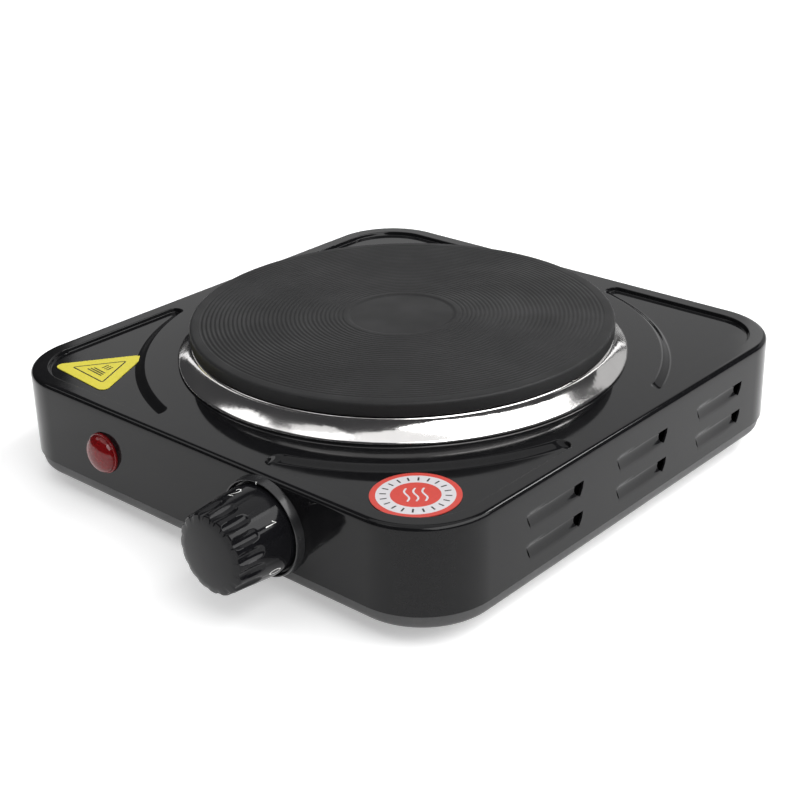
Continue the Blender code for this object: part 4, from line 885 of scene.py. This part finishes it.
# ---------------------------------------------------------------- Pilot lens
# A clear red moulding that snaps into the front wall: a domed button with a thin flange, and a hollow
# neck that goes in behind the wall over the neon lamp. Rings inside the dome spread the light.
lens_radius = half_across(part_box("pilot_lens"))
lens_dome = body_centre.y + front_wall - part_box("pilot_lens")[0].y
lens_neck, lens_neck_length, lens_wall = 5.6 * mm, 13 * mm, mm
lens_place = on_wall(lens_x, front_wall, lens_z)


def lens_section():
    dome = []
    for k in range(15):
        a = math.pi / 2 * k / 14
        dome.append((lens_radius * 0.94 * math.sin(a), mm + (lens_dome - mm) * math.cos(a), 0))
    rings = [(lens_neck - lens_wall, -lens_neck_length, 0), (lens_neck - lens_wall, mm, 0)]
    for k in range(5, 0, -1):
        outer = (lens_neck - lens_wall) * k / 5.2
        rings += [(outer, 1.9 * mm, 0), (outer - 0.35 * mm, 1.1 * mm + 0.2 * (5 - k) * mm, 0)]
    return eased([
        *dome, (lens_radius, 0.9 * mm, 0.3 * mm), (lens_radius, 0.02 * mm, 0.1 * mm), (lens_neck, 0.02 * mm, 0),
        (lens_neck, -lens_neck_length, 0), *rings, (0, 2 * mm, 0)
    ])


red_lens = finish("clear_red_plastic", (0.27, 0.006, 0.008), 0.1, mottle=0.15, grain=1.5 * mm, relief=0.001 * mm,
                  Transmission_Weight=0.5, IOR=1.46)
piece("domed_lens", turned(lens_section(), 72), red_lens, "body", ["pilot_lens"], lens_place)


# ---------------------------------------------------------------- Labels
# Two printed vinyl labels stuck in the front corner panels: a round red and white one with plain
# marks, and a yellow triangle with a black border. Both carry generic heat marks and no words.
panel_floor = shell_top - panel_drop
vinyl = 0.25 * mm
round_radius = half_across(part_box("round_label"))
round_at = middle_of("round_label").to_2d()
triangle_at = middle_of("triangle_label").to_2d()


def slab(outlines, low, high, at=(0, 0), turn=0.0):
    """Flat shapes, each a list of loops whose first is the outline, between two heights."""
    bm = bmesh.new()
    for loops in outlines:
        rings = [[bm.verts.new((x, y, low)) for x, y in loop] for loop in loops]
        before = set(bm.faces)
        fill_flat(bm, rings)
        made = [f for f in bm.faces if f not in before]
        top = bmesh.ops.extrude_face_region(bm, geom=made)["geom"]
        bmesh.ops.translate(bm, vec=(0, 0, high - low), verts=[v for v in top if isinstance(v, bmesh.types.BMVert)])
    place = Matrix.Translation((*at, 0)) @ Matrix.Rotation(turn, 4, "Z")
    bm.transform(place)
    return as_mesh(bm, "slab")


def heat_wave(x, y, height, swing):
    return [(x + swing * math.sin(2 * math.pi * k / 16), y + height * (k / 16 - 0.5)) for k in range(17)]


def printed(name, lines, width, material, at, turn):
    mesh = pen_strokes(lines, width)
    place = Matrix.Translation((*at, base_top)) @ Matrix.Rotation(turn, 4, "Z")
    piece(name, mesh, material, "body", [], body_place @ place)


def rounded_triangle(reach, corner):
    points = []
    for i in range(3):
        heading = math.pi / 2 + 2 * math.pi / 3 * i
        for k in range(9):
            a = heading + 2 * math.pi / 3 * (k / 8 - 0.5)
            points.append((reach * math.cos(heading) + corner * math.cos(a),
                           reach * math.sin(heading) + corner * math.sin(a)))
    return points


vinyl_look = {"roughness": 0.38, "grain": 1.5 * mm, "relief": 0.002 * mm}
label_red = finish("red_vinyl", (0.58, 0.05, 0.035), mottle=0.08, **vinyl_look)
label_white = finish("white_vinyl", (0.62, 0.6, 0.62), mottle=0.05, **vinyl_look)
label_black = finish("black_ink", (0.008, 0.008, 0.008), 0.45, mottle=0.1, grain=0.6 * mm, relief=0.002 * mm)
label_yellow = finish("yellow_vinyl", (0.68, 0.6, 0.05), mottle=0.08, **vinyl_look)
base_top = panel_floor + vinyl
band_top = base_top + 0.02 * mm
piece("round_sticker", slab([[circle(round_radius, 96)]], panel_floor, base_top, round_at), label_red, "body",
      ["round_label"])
band = slab([[circle(12.4 * mm, 96), circle(7.9 * mm, 96)]], panel_floor + vinyl / 2, band_top, round_at)
piece("round_sticker_band", band, label_white, "body", [])
tick = pen_strokes([[(0, 9.1 * mm), (0, 11.2 * mm)]], 0.6 * mm)
tick.transform(Matrix.Translation((0, 0, band_top)))
ticks = grown(tick, round_the_axis, {"Count": 20, "First turn": 0.0, "Finish": label_black})
ticks.transform(Matrix.Translation((*round_at, 0)))
piece("round_sticker_ticks", outwards(ticks), None, "body", [])
waves = [heat_wave(x * mm, 0, 8.4 * mm, 0.7 * mm) for x in (-2.8, 0, 2.8)]
printed("round_sticker_waves", waves, 0.65 * mm, label_white, round_at, 0.75)

triangle_turn, triangle_reach = -0.1, 14.8 * mm
piece("triangle_sticker", slab([[rounded_triangle(triangle_reach, 2.5 * mm)]], panel_floor, base_top, triangle_at,
      triangle_turn), label_yellow, "body", ["triangle_label"])
border = rounded_triangle(triangle_reach * 0.68, 0.5 * mm)
bars = [[(-w * mm, y * mm), (w * mm, y * mm)] for w, y in ((4.4, -2.6), (4.1, -1.5), (3.6, -0.4))]
steam = [heat_wave(x * mm, 3 * mm, 3 * mm, 0.2 * mm) for x in (-1.4, 0, 1.4)]
printed("triangle_sticker_marks", [[*border, border[0]], *bars, *steam], 0.6 * mm, label_black, triangle_at,
        triangle_turn)


# ---------------------------------------------------------------- Cord gland
# A black moulded grommet that keeps a lead off the sheared edge. It is turned as one ring, with a
# flange outside the far wall and a ridge behind it that the ring snaps in by.
gland_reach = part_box("cord_gland")[1].y - (body_centre.y + shell_y)
gland_place = on_wall(gland_x, shell_y, gland_z)
gland_bore, gland_neck, gland_flange = 4.3 * mm, 6.2 * mm, 9 * mm
gland_section = eased([
    (gland_bore, gland_reach, 0.9 * mm), (gland_flange - 0.5 * mm, gland_reach, 0.9 * mm),
    (gland_flange, 0.02 * mm, 0.2 * mm), (gland_neck, 0.02 * mm, 0), (gland_neck, -shell_sheet - 0.2 * mm, 0),
    (gland_neck + 0.9 * mm, -shell_sheet - 0.3 * mm, 0.2 * mm), (gland_neck, -shell_sheet - 5 * mm, 0.4 * mm),
    (gland_bore, -shell_sheet - 5 * mm, 0.3 * mm)
], closed=True)
gland_plastic = finish("black_grommet", (0.02, 0.02, 0.02), 0.5, mottle=0.2, grain=0.7 * mm, relief=0.012 * mm)
piece("grommet", turned(gland_section, 72), gland_plastic, "body", ["cord_gland"], gland_place)


# ---------------------------------------------------------------- Heating element and its insulation
# A tubular element in a dark oxidised sheath lies in a spiral under the plate. A mica disc and a
# zinc-plated cover hold it there, and its two ends come down through them with ceramic beads.
def softened(name, nodes, material, body="body", edge=0.0, sharp=32):
    """Copies of CAD nodes as one piece, with their triangles joined up and their edges broken a little."""
    bm = bmesh.new()
    for node in nodes:
        bm.from_mesh(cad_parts[node].data)
    bmesh.ops.remove_doubles(bm, verts=bm.verts, dist=0.001 * mm)
    bmesh.ops.dissolve_limit(bm, angle_limit=math.radians(1), verts=bm.verts, edges=bm.edges)
    if edge:
        keen = [e for e in bm.edges if len(e.link_faces) == 2 and e.calc_face_angle(0) > math.radians(50)]
        bmesh.ops.bevel(bm, geom=keen, offset=edge, segments=2, profile=0.5, affect="EDGES", clamp_overlap=True)
    bmesh.ops.triangulate(bm, faces=bm.faces)
    mesh = bpy.data.meshes.new(name)
    bm.to_mesh(mesh)
    bm.free()
    return piece(name, mesh, material, body, nodes, Matrix.Identity(4), sharp)


sheath = finish("oxidised_sheath", (0.13, 0.12, 0.11), 0.5, 0.8, mottle=0.3, grain=2.5 * mm, relief=0.01 * mm)
mica = finish("mica_sheet", (0.55, 0.5, 0.4), 0.45, mottle=0.3, grain=4 * mm, relief=0.01 * mm)
ceramic = finish("white_ceramic", (0.8, 0.78, 0.72), 0.4, mottle=0.06, grain=0.6 * mm, relief=0.005 * mm)
softened("element_coil", ["heating_element"], sheath)
softened("mica_disc", ["insulation_disc"], mica)
softened("element_plate", ["element_cover"], zinc)
softened("element_beads", ["terminal_bead_1", "terminal_bead_2"], ceramic, edge=0.15 * mm)
softened("element_pins", ["terminal_pin_1", "terminal_pin_2"], zinc, edge=0.15 * mm)


# ---------------------------------------------------------------- What clamps the plate down
# A steel bridge spans the opening under the shell, and the stud in the plate pulls down on it
# through a washer and nut. The bright dish above the nut keeps the heat off the wiring.
shield_steel = finish("bright_shield", (0.66, 0.66, 0.67), 0.24, 1.0, mottle=0.06, grain=5 * mm, relief=0.02 * mm)
softened("bridge_bar", ["clamp_bridge"], zinc, edge=0.2 * mm)
softened("shield_dish", ["heat_shield"], shield_steel)
softened("stud_and_nut", ["centre_stud", "clamp_nut", "clamp_washer"], zinc, edge=0.2 * mm)
softened("corner_pillars", [f"corner_post_{i}" for i in (1, 2, 3, 4)], zinc, edge=0.3 * mm)


# ---------------------------------------------------------------- Spindle, bush and cam
# The steel spindle turns in a brass bush that clamps the bezel, the wall and the bracket together
# with a thin nut. A ceramic snail cam on its inner end lifts the contact arm.
brass = finish("plain_brass", (0.7, 0.5, 0.22), 0.28, 1.0, mottle=0.1, grain=1.5 * mm, relief=0.004 * mm)
softened("spindle", ["knob_spindle"], zinc, "knob", edge=0.2 * mm)
softened("bush", ["spindle_bush"], brass, edge=0.15 * mm)
softened("thin_nut", ["bush_nut"], zinc, edge=0.2 * mm)
softened("snail_cam", ["thermostat_cam"], ceramic, "knob", edge=0.2 * mm)


# ---------------------------------------------------------------- Thermostat
# A stack of blades between ceramic spacers, riveted under the shelf of a bent bracket. The bimetal
# blade stays put, and the spring arm below it rocks as the cam lifts it.
spring = finish("spring_steel", (0.46, 0.45, 0.43), 0.28, 1.0, mottle=0.1, grain=1.2 * mm, stretch=(0.2, 1, 1),
                relief=0.003 * mm)
softened("bracket", ["thermostat_bracket"], zinc, edge=0.2 * mm)
softened("spacers", ["stack_spacer_low", "stack_spacer_middle", "stack_spacer_top"], ceramic,
         edge=0.12 * mm)
softened("blade_rivet", ["stack_rivet"], zinc, edge=0.1 * mm)
softened("bimetal", ["bimetal_blade"], spring)
softened("blade_tabs", ["bimetal_terminal", "arm_terminal"], brass, edge=0.08 * mm)
softened("spring_arm", ["contact_arm"], spring, "contact_arm")


# ---------------------------------------------------------------- Neon lamp and its clip
# A small glass neon lamp stands in the neck of the lens, and a spring ring behind the wall holds
# both. Each keeps its CAD shape, and the clip has its edges eased.
glass = finish("lamp_glass", (0.9, 0.78, 0.68), 0.08, mottle=0.05, grain=2 * mm, relief=0.001 * mm,
               Transmission_Weight=0.7, IOR=1.5)
softened("lamp_bulb", ["neon_lamp"], glass)
softened("lens_clip", ["pilot_retainer"], spring, edge=0.1 * mm)


# ---------------------------------------------------------------- Terminal block, earth point and wiring
# Heat-proof leads run from a pale moulded block to the lamp, the blades and the element. An earth tag
# is screwed to the floor of the pan.
block = finish("pale_thermoset", (0.72, 0.71, 0.66), 0.42, mottle=0.08, grain=0.9 * mm, relief=0.01 * mm)
sleeving = {"roughness": 0.55, "mottle": 0.15, "grain": 0.6 * mm, "relief": 0.02 * mm}
red_lead = finish("red_sleeving", (0.36, 0.03, 0.022), **sleeving)
blue_lead = finish("blue_sleeving", (0.02, 0.09, 0.34), **sleeving)
softened("mains_block", ["terminal_block"], block)
softened("block_screws", ["terminal_screw_1", "terminal_screw_2"], brass, edge=0.2 * mm)
softened("earth_lug", ["earth_tag"], brass, edge=0.08 * mm)
softened("lug_screw", ["earth_screw"], brass, edge=0.15 * mm)
softened("red_leads", ["live_lead", "element_lead", "lamp_live_lead"], red_lead)
softened("blue_leads", ["neutral_lead", "lamp_neutral_lead"], blue_lead)


# ---------------------------------------------------------------- Floor, light and camera
# A plain pale floor, a wide dim ceiling light, one broad soft light to the right and a few small or
# faint ones round the back, in an otherwise dark room.
floor_mesh = bpy.data.meshes.new("floor")
far = 60.0
floor_mesh.from_pydata([(-far, -far, 0), (far, -far, 0), (far, far, 0), (-far, far, 0)], [], [(0, 1, 2, 3)])
floor = placed("floor", floor_mesh)
pale_floor = finish("pale_floor", (0.88, 0.88, 0.88), 0.9, mottle=0.01, grain=200 * mm, relief=0,
                    Emission_Color=(1, 1, 1, 1))
floor_nodes, floor_links = pale_floor.node_tree.nodes, pale_floor.node_tree.links
from_middle = floor_nodes.new("ShaderNodeVectorMath")
from_middle.operation = "LENGTH"
floor_links.new(floor_nodes["Texture Coordinate"].outputs["Object"], from_middle.inputs[0])
glow = floor_nodes.new("ShaderNodeMapRange")
for socket, value in {"From Min": 1.0, "From Max": 4.0, "To Min": 0.4, "To Max": 1.0}.items():
    glow.inputs[socket].default_value = value
floor_links.new(from_middle.outputs["Value"], glow.inputs["Value"])
floor_links.new(glow.outputs["Result"], floor_nodes["Principled BSDF"].inputs["Emission Strength"])
floor_mesh.materials.append(pale_floor)


def soft_light(name, azimuth, elevation, distance, width, height, brightness):
    """A flat soft light that faces the object, seen from it at this azimuth from +X and this elevation."""
    light = bpy.data.lights.new(name, "AREA")
    light.shape = "RECTANGLE"
    light.size, light.size_y = width, height
    light.energy = brightness * math.pi * width * height
    made = placed(name, light)
    a, e = math.radians(azimuth), math.radians(elevation)
    place = Vector((math.cos(a) * math.cos(e), math.sin(a) * math.cos(e), math.sin(e)))
    made.location = place * distance
    made.rotation_euler = place.to_track_quat("Z", "Y").to_euler()


soft_light("ceiling", 0, 90, 3.0, 3.8, 3.8, 1.0)
soft_light("broad_right", 5, 47, 2.4, 3.4, 1.5, 4.0)
soft_light("small_back", 66, 43, 2.0, 0.35, 0.35, 16.0)
soft_light("low_back_right", 90, 16, 2.2, 1.9, 1.0, 0.5)
soft_light("low_back_left", 126, 24, 2.4, 1.7, 1.3, 0.72)
soft_light("left_window", -150, 42, 2.0, 0.8, 0.55, 1.6)
soft_light("front_window", -107, 56, 2.0, 0.7, 0.6, 0.9)

room = bpy.data.worlds.new("room")
room.use_nodes = True
room.node_tree.nodes["Background"].inputs["Color"].default_value = (0.05, 0.05, 0.052, 1)
bpy.context.scene.world = room
bpy.context.scene.view_settings.view_transform = "Standard"

camera_data = bpy.data.cameras.new("camera")
camera_data.lens = 71.18
camera_data.sensor_width = 36
camera = placed("camera", camera_data)
camera_azimuth, camera_elevation, camera_roll = (math.radians(a) for a in (41.94, 25.04, -1.494))
camera.matrix_world = (
    Matrix.Translation((0.3581, -0.3893, 0.2722)) @ Matrix.Rotation(camera_azimuth, 4, "Z")
    @ Matrix.Rotation(math.pi / 2 - camera_elevation, 4, "X") @ Matrix.Rotation(camera_roll, 4, "Z")
)
bpy.context.scene.camera = camera
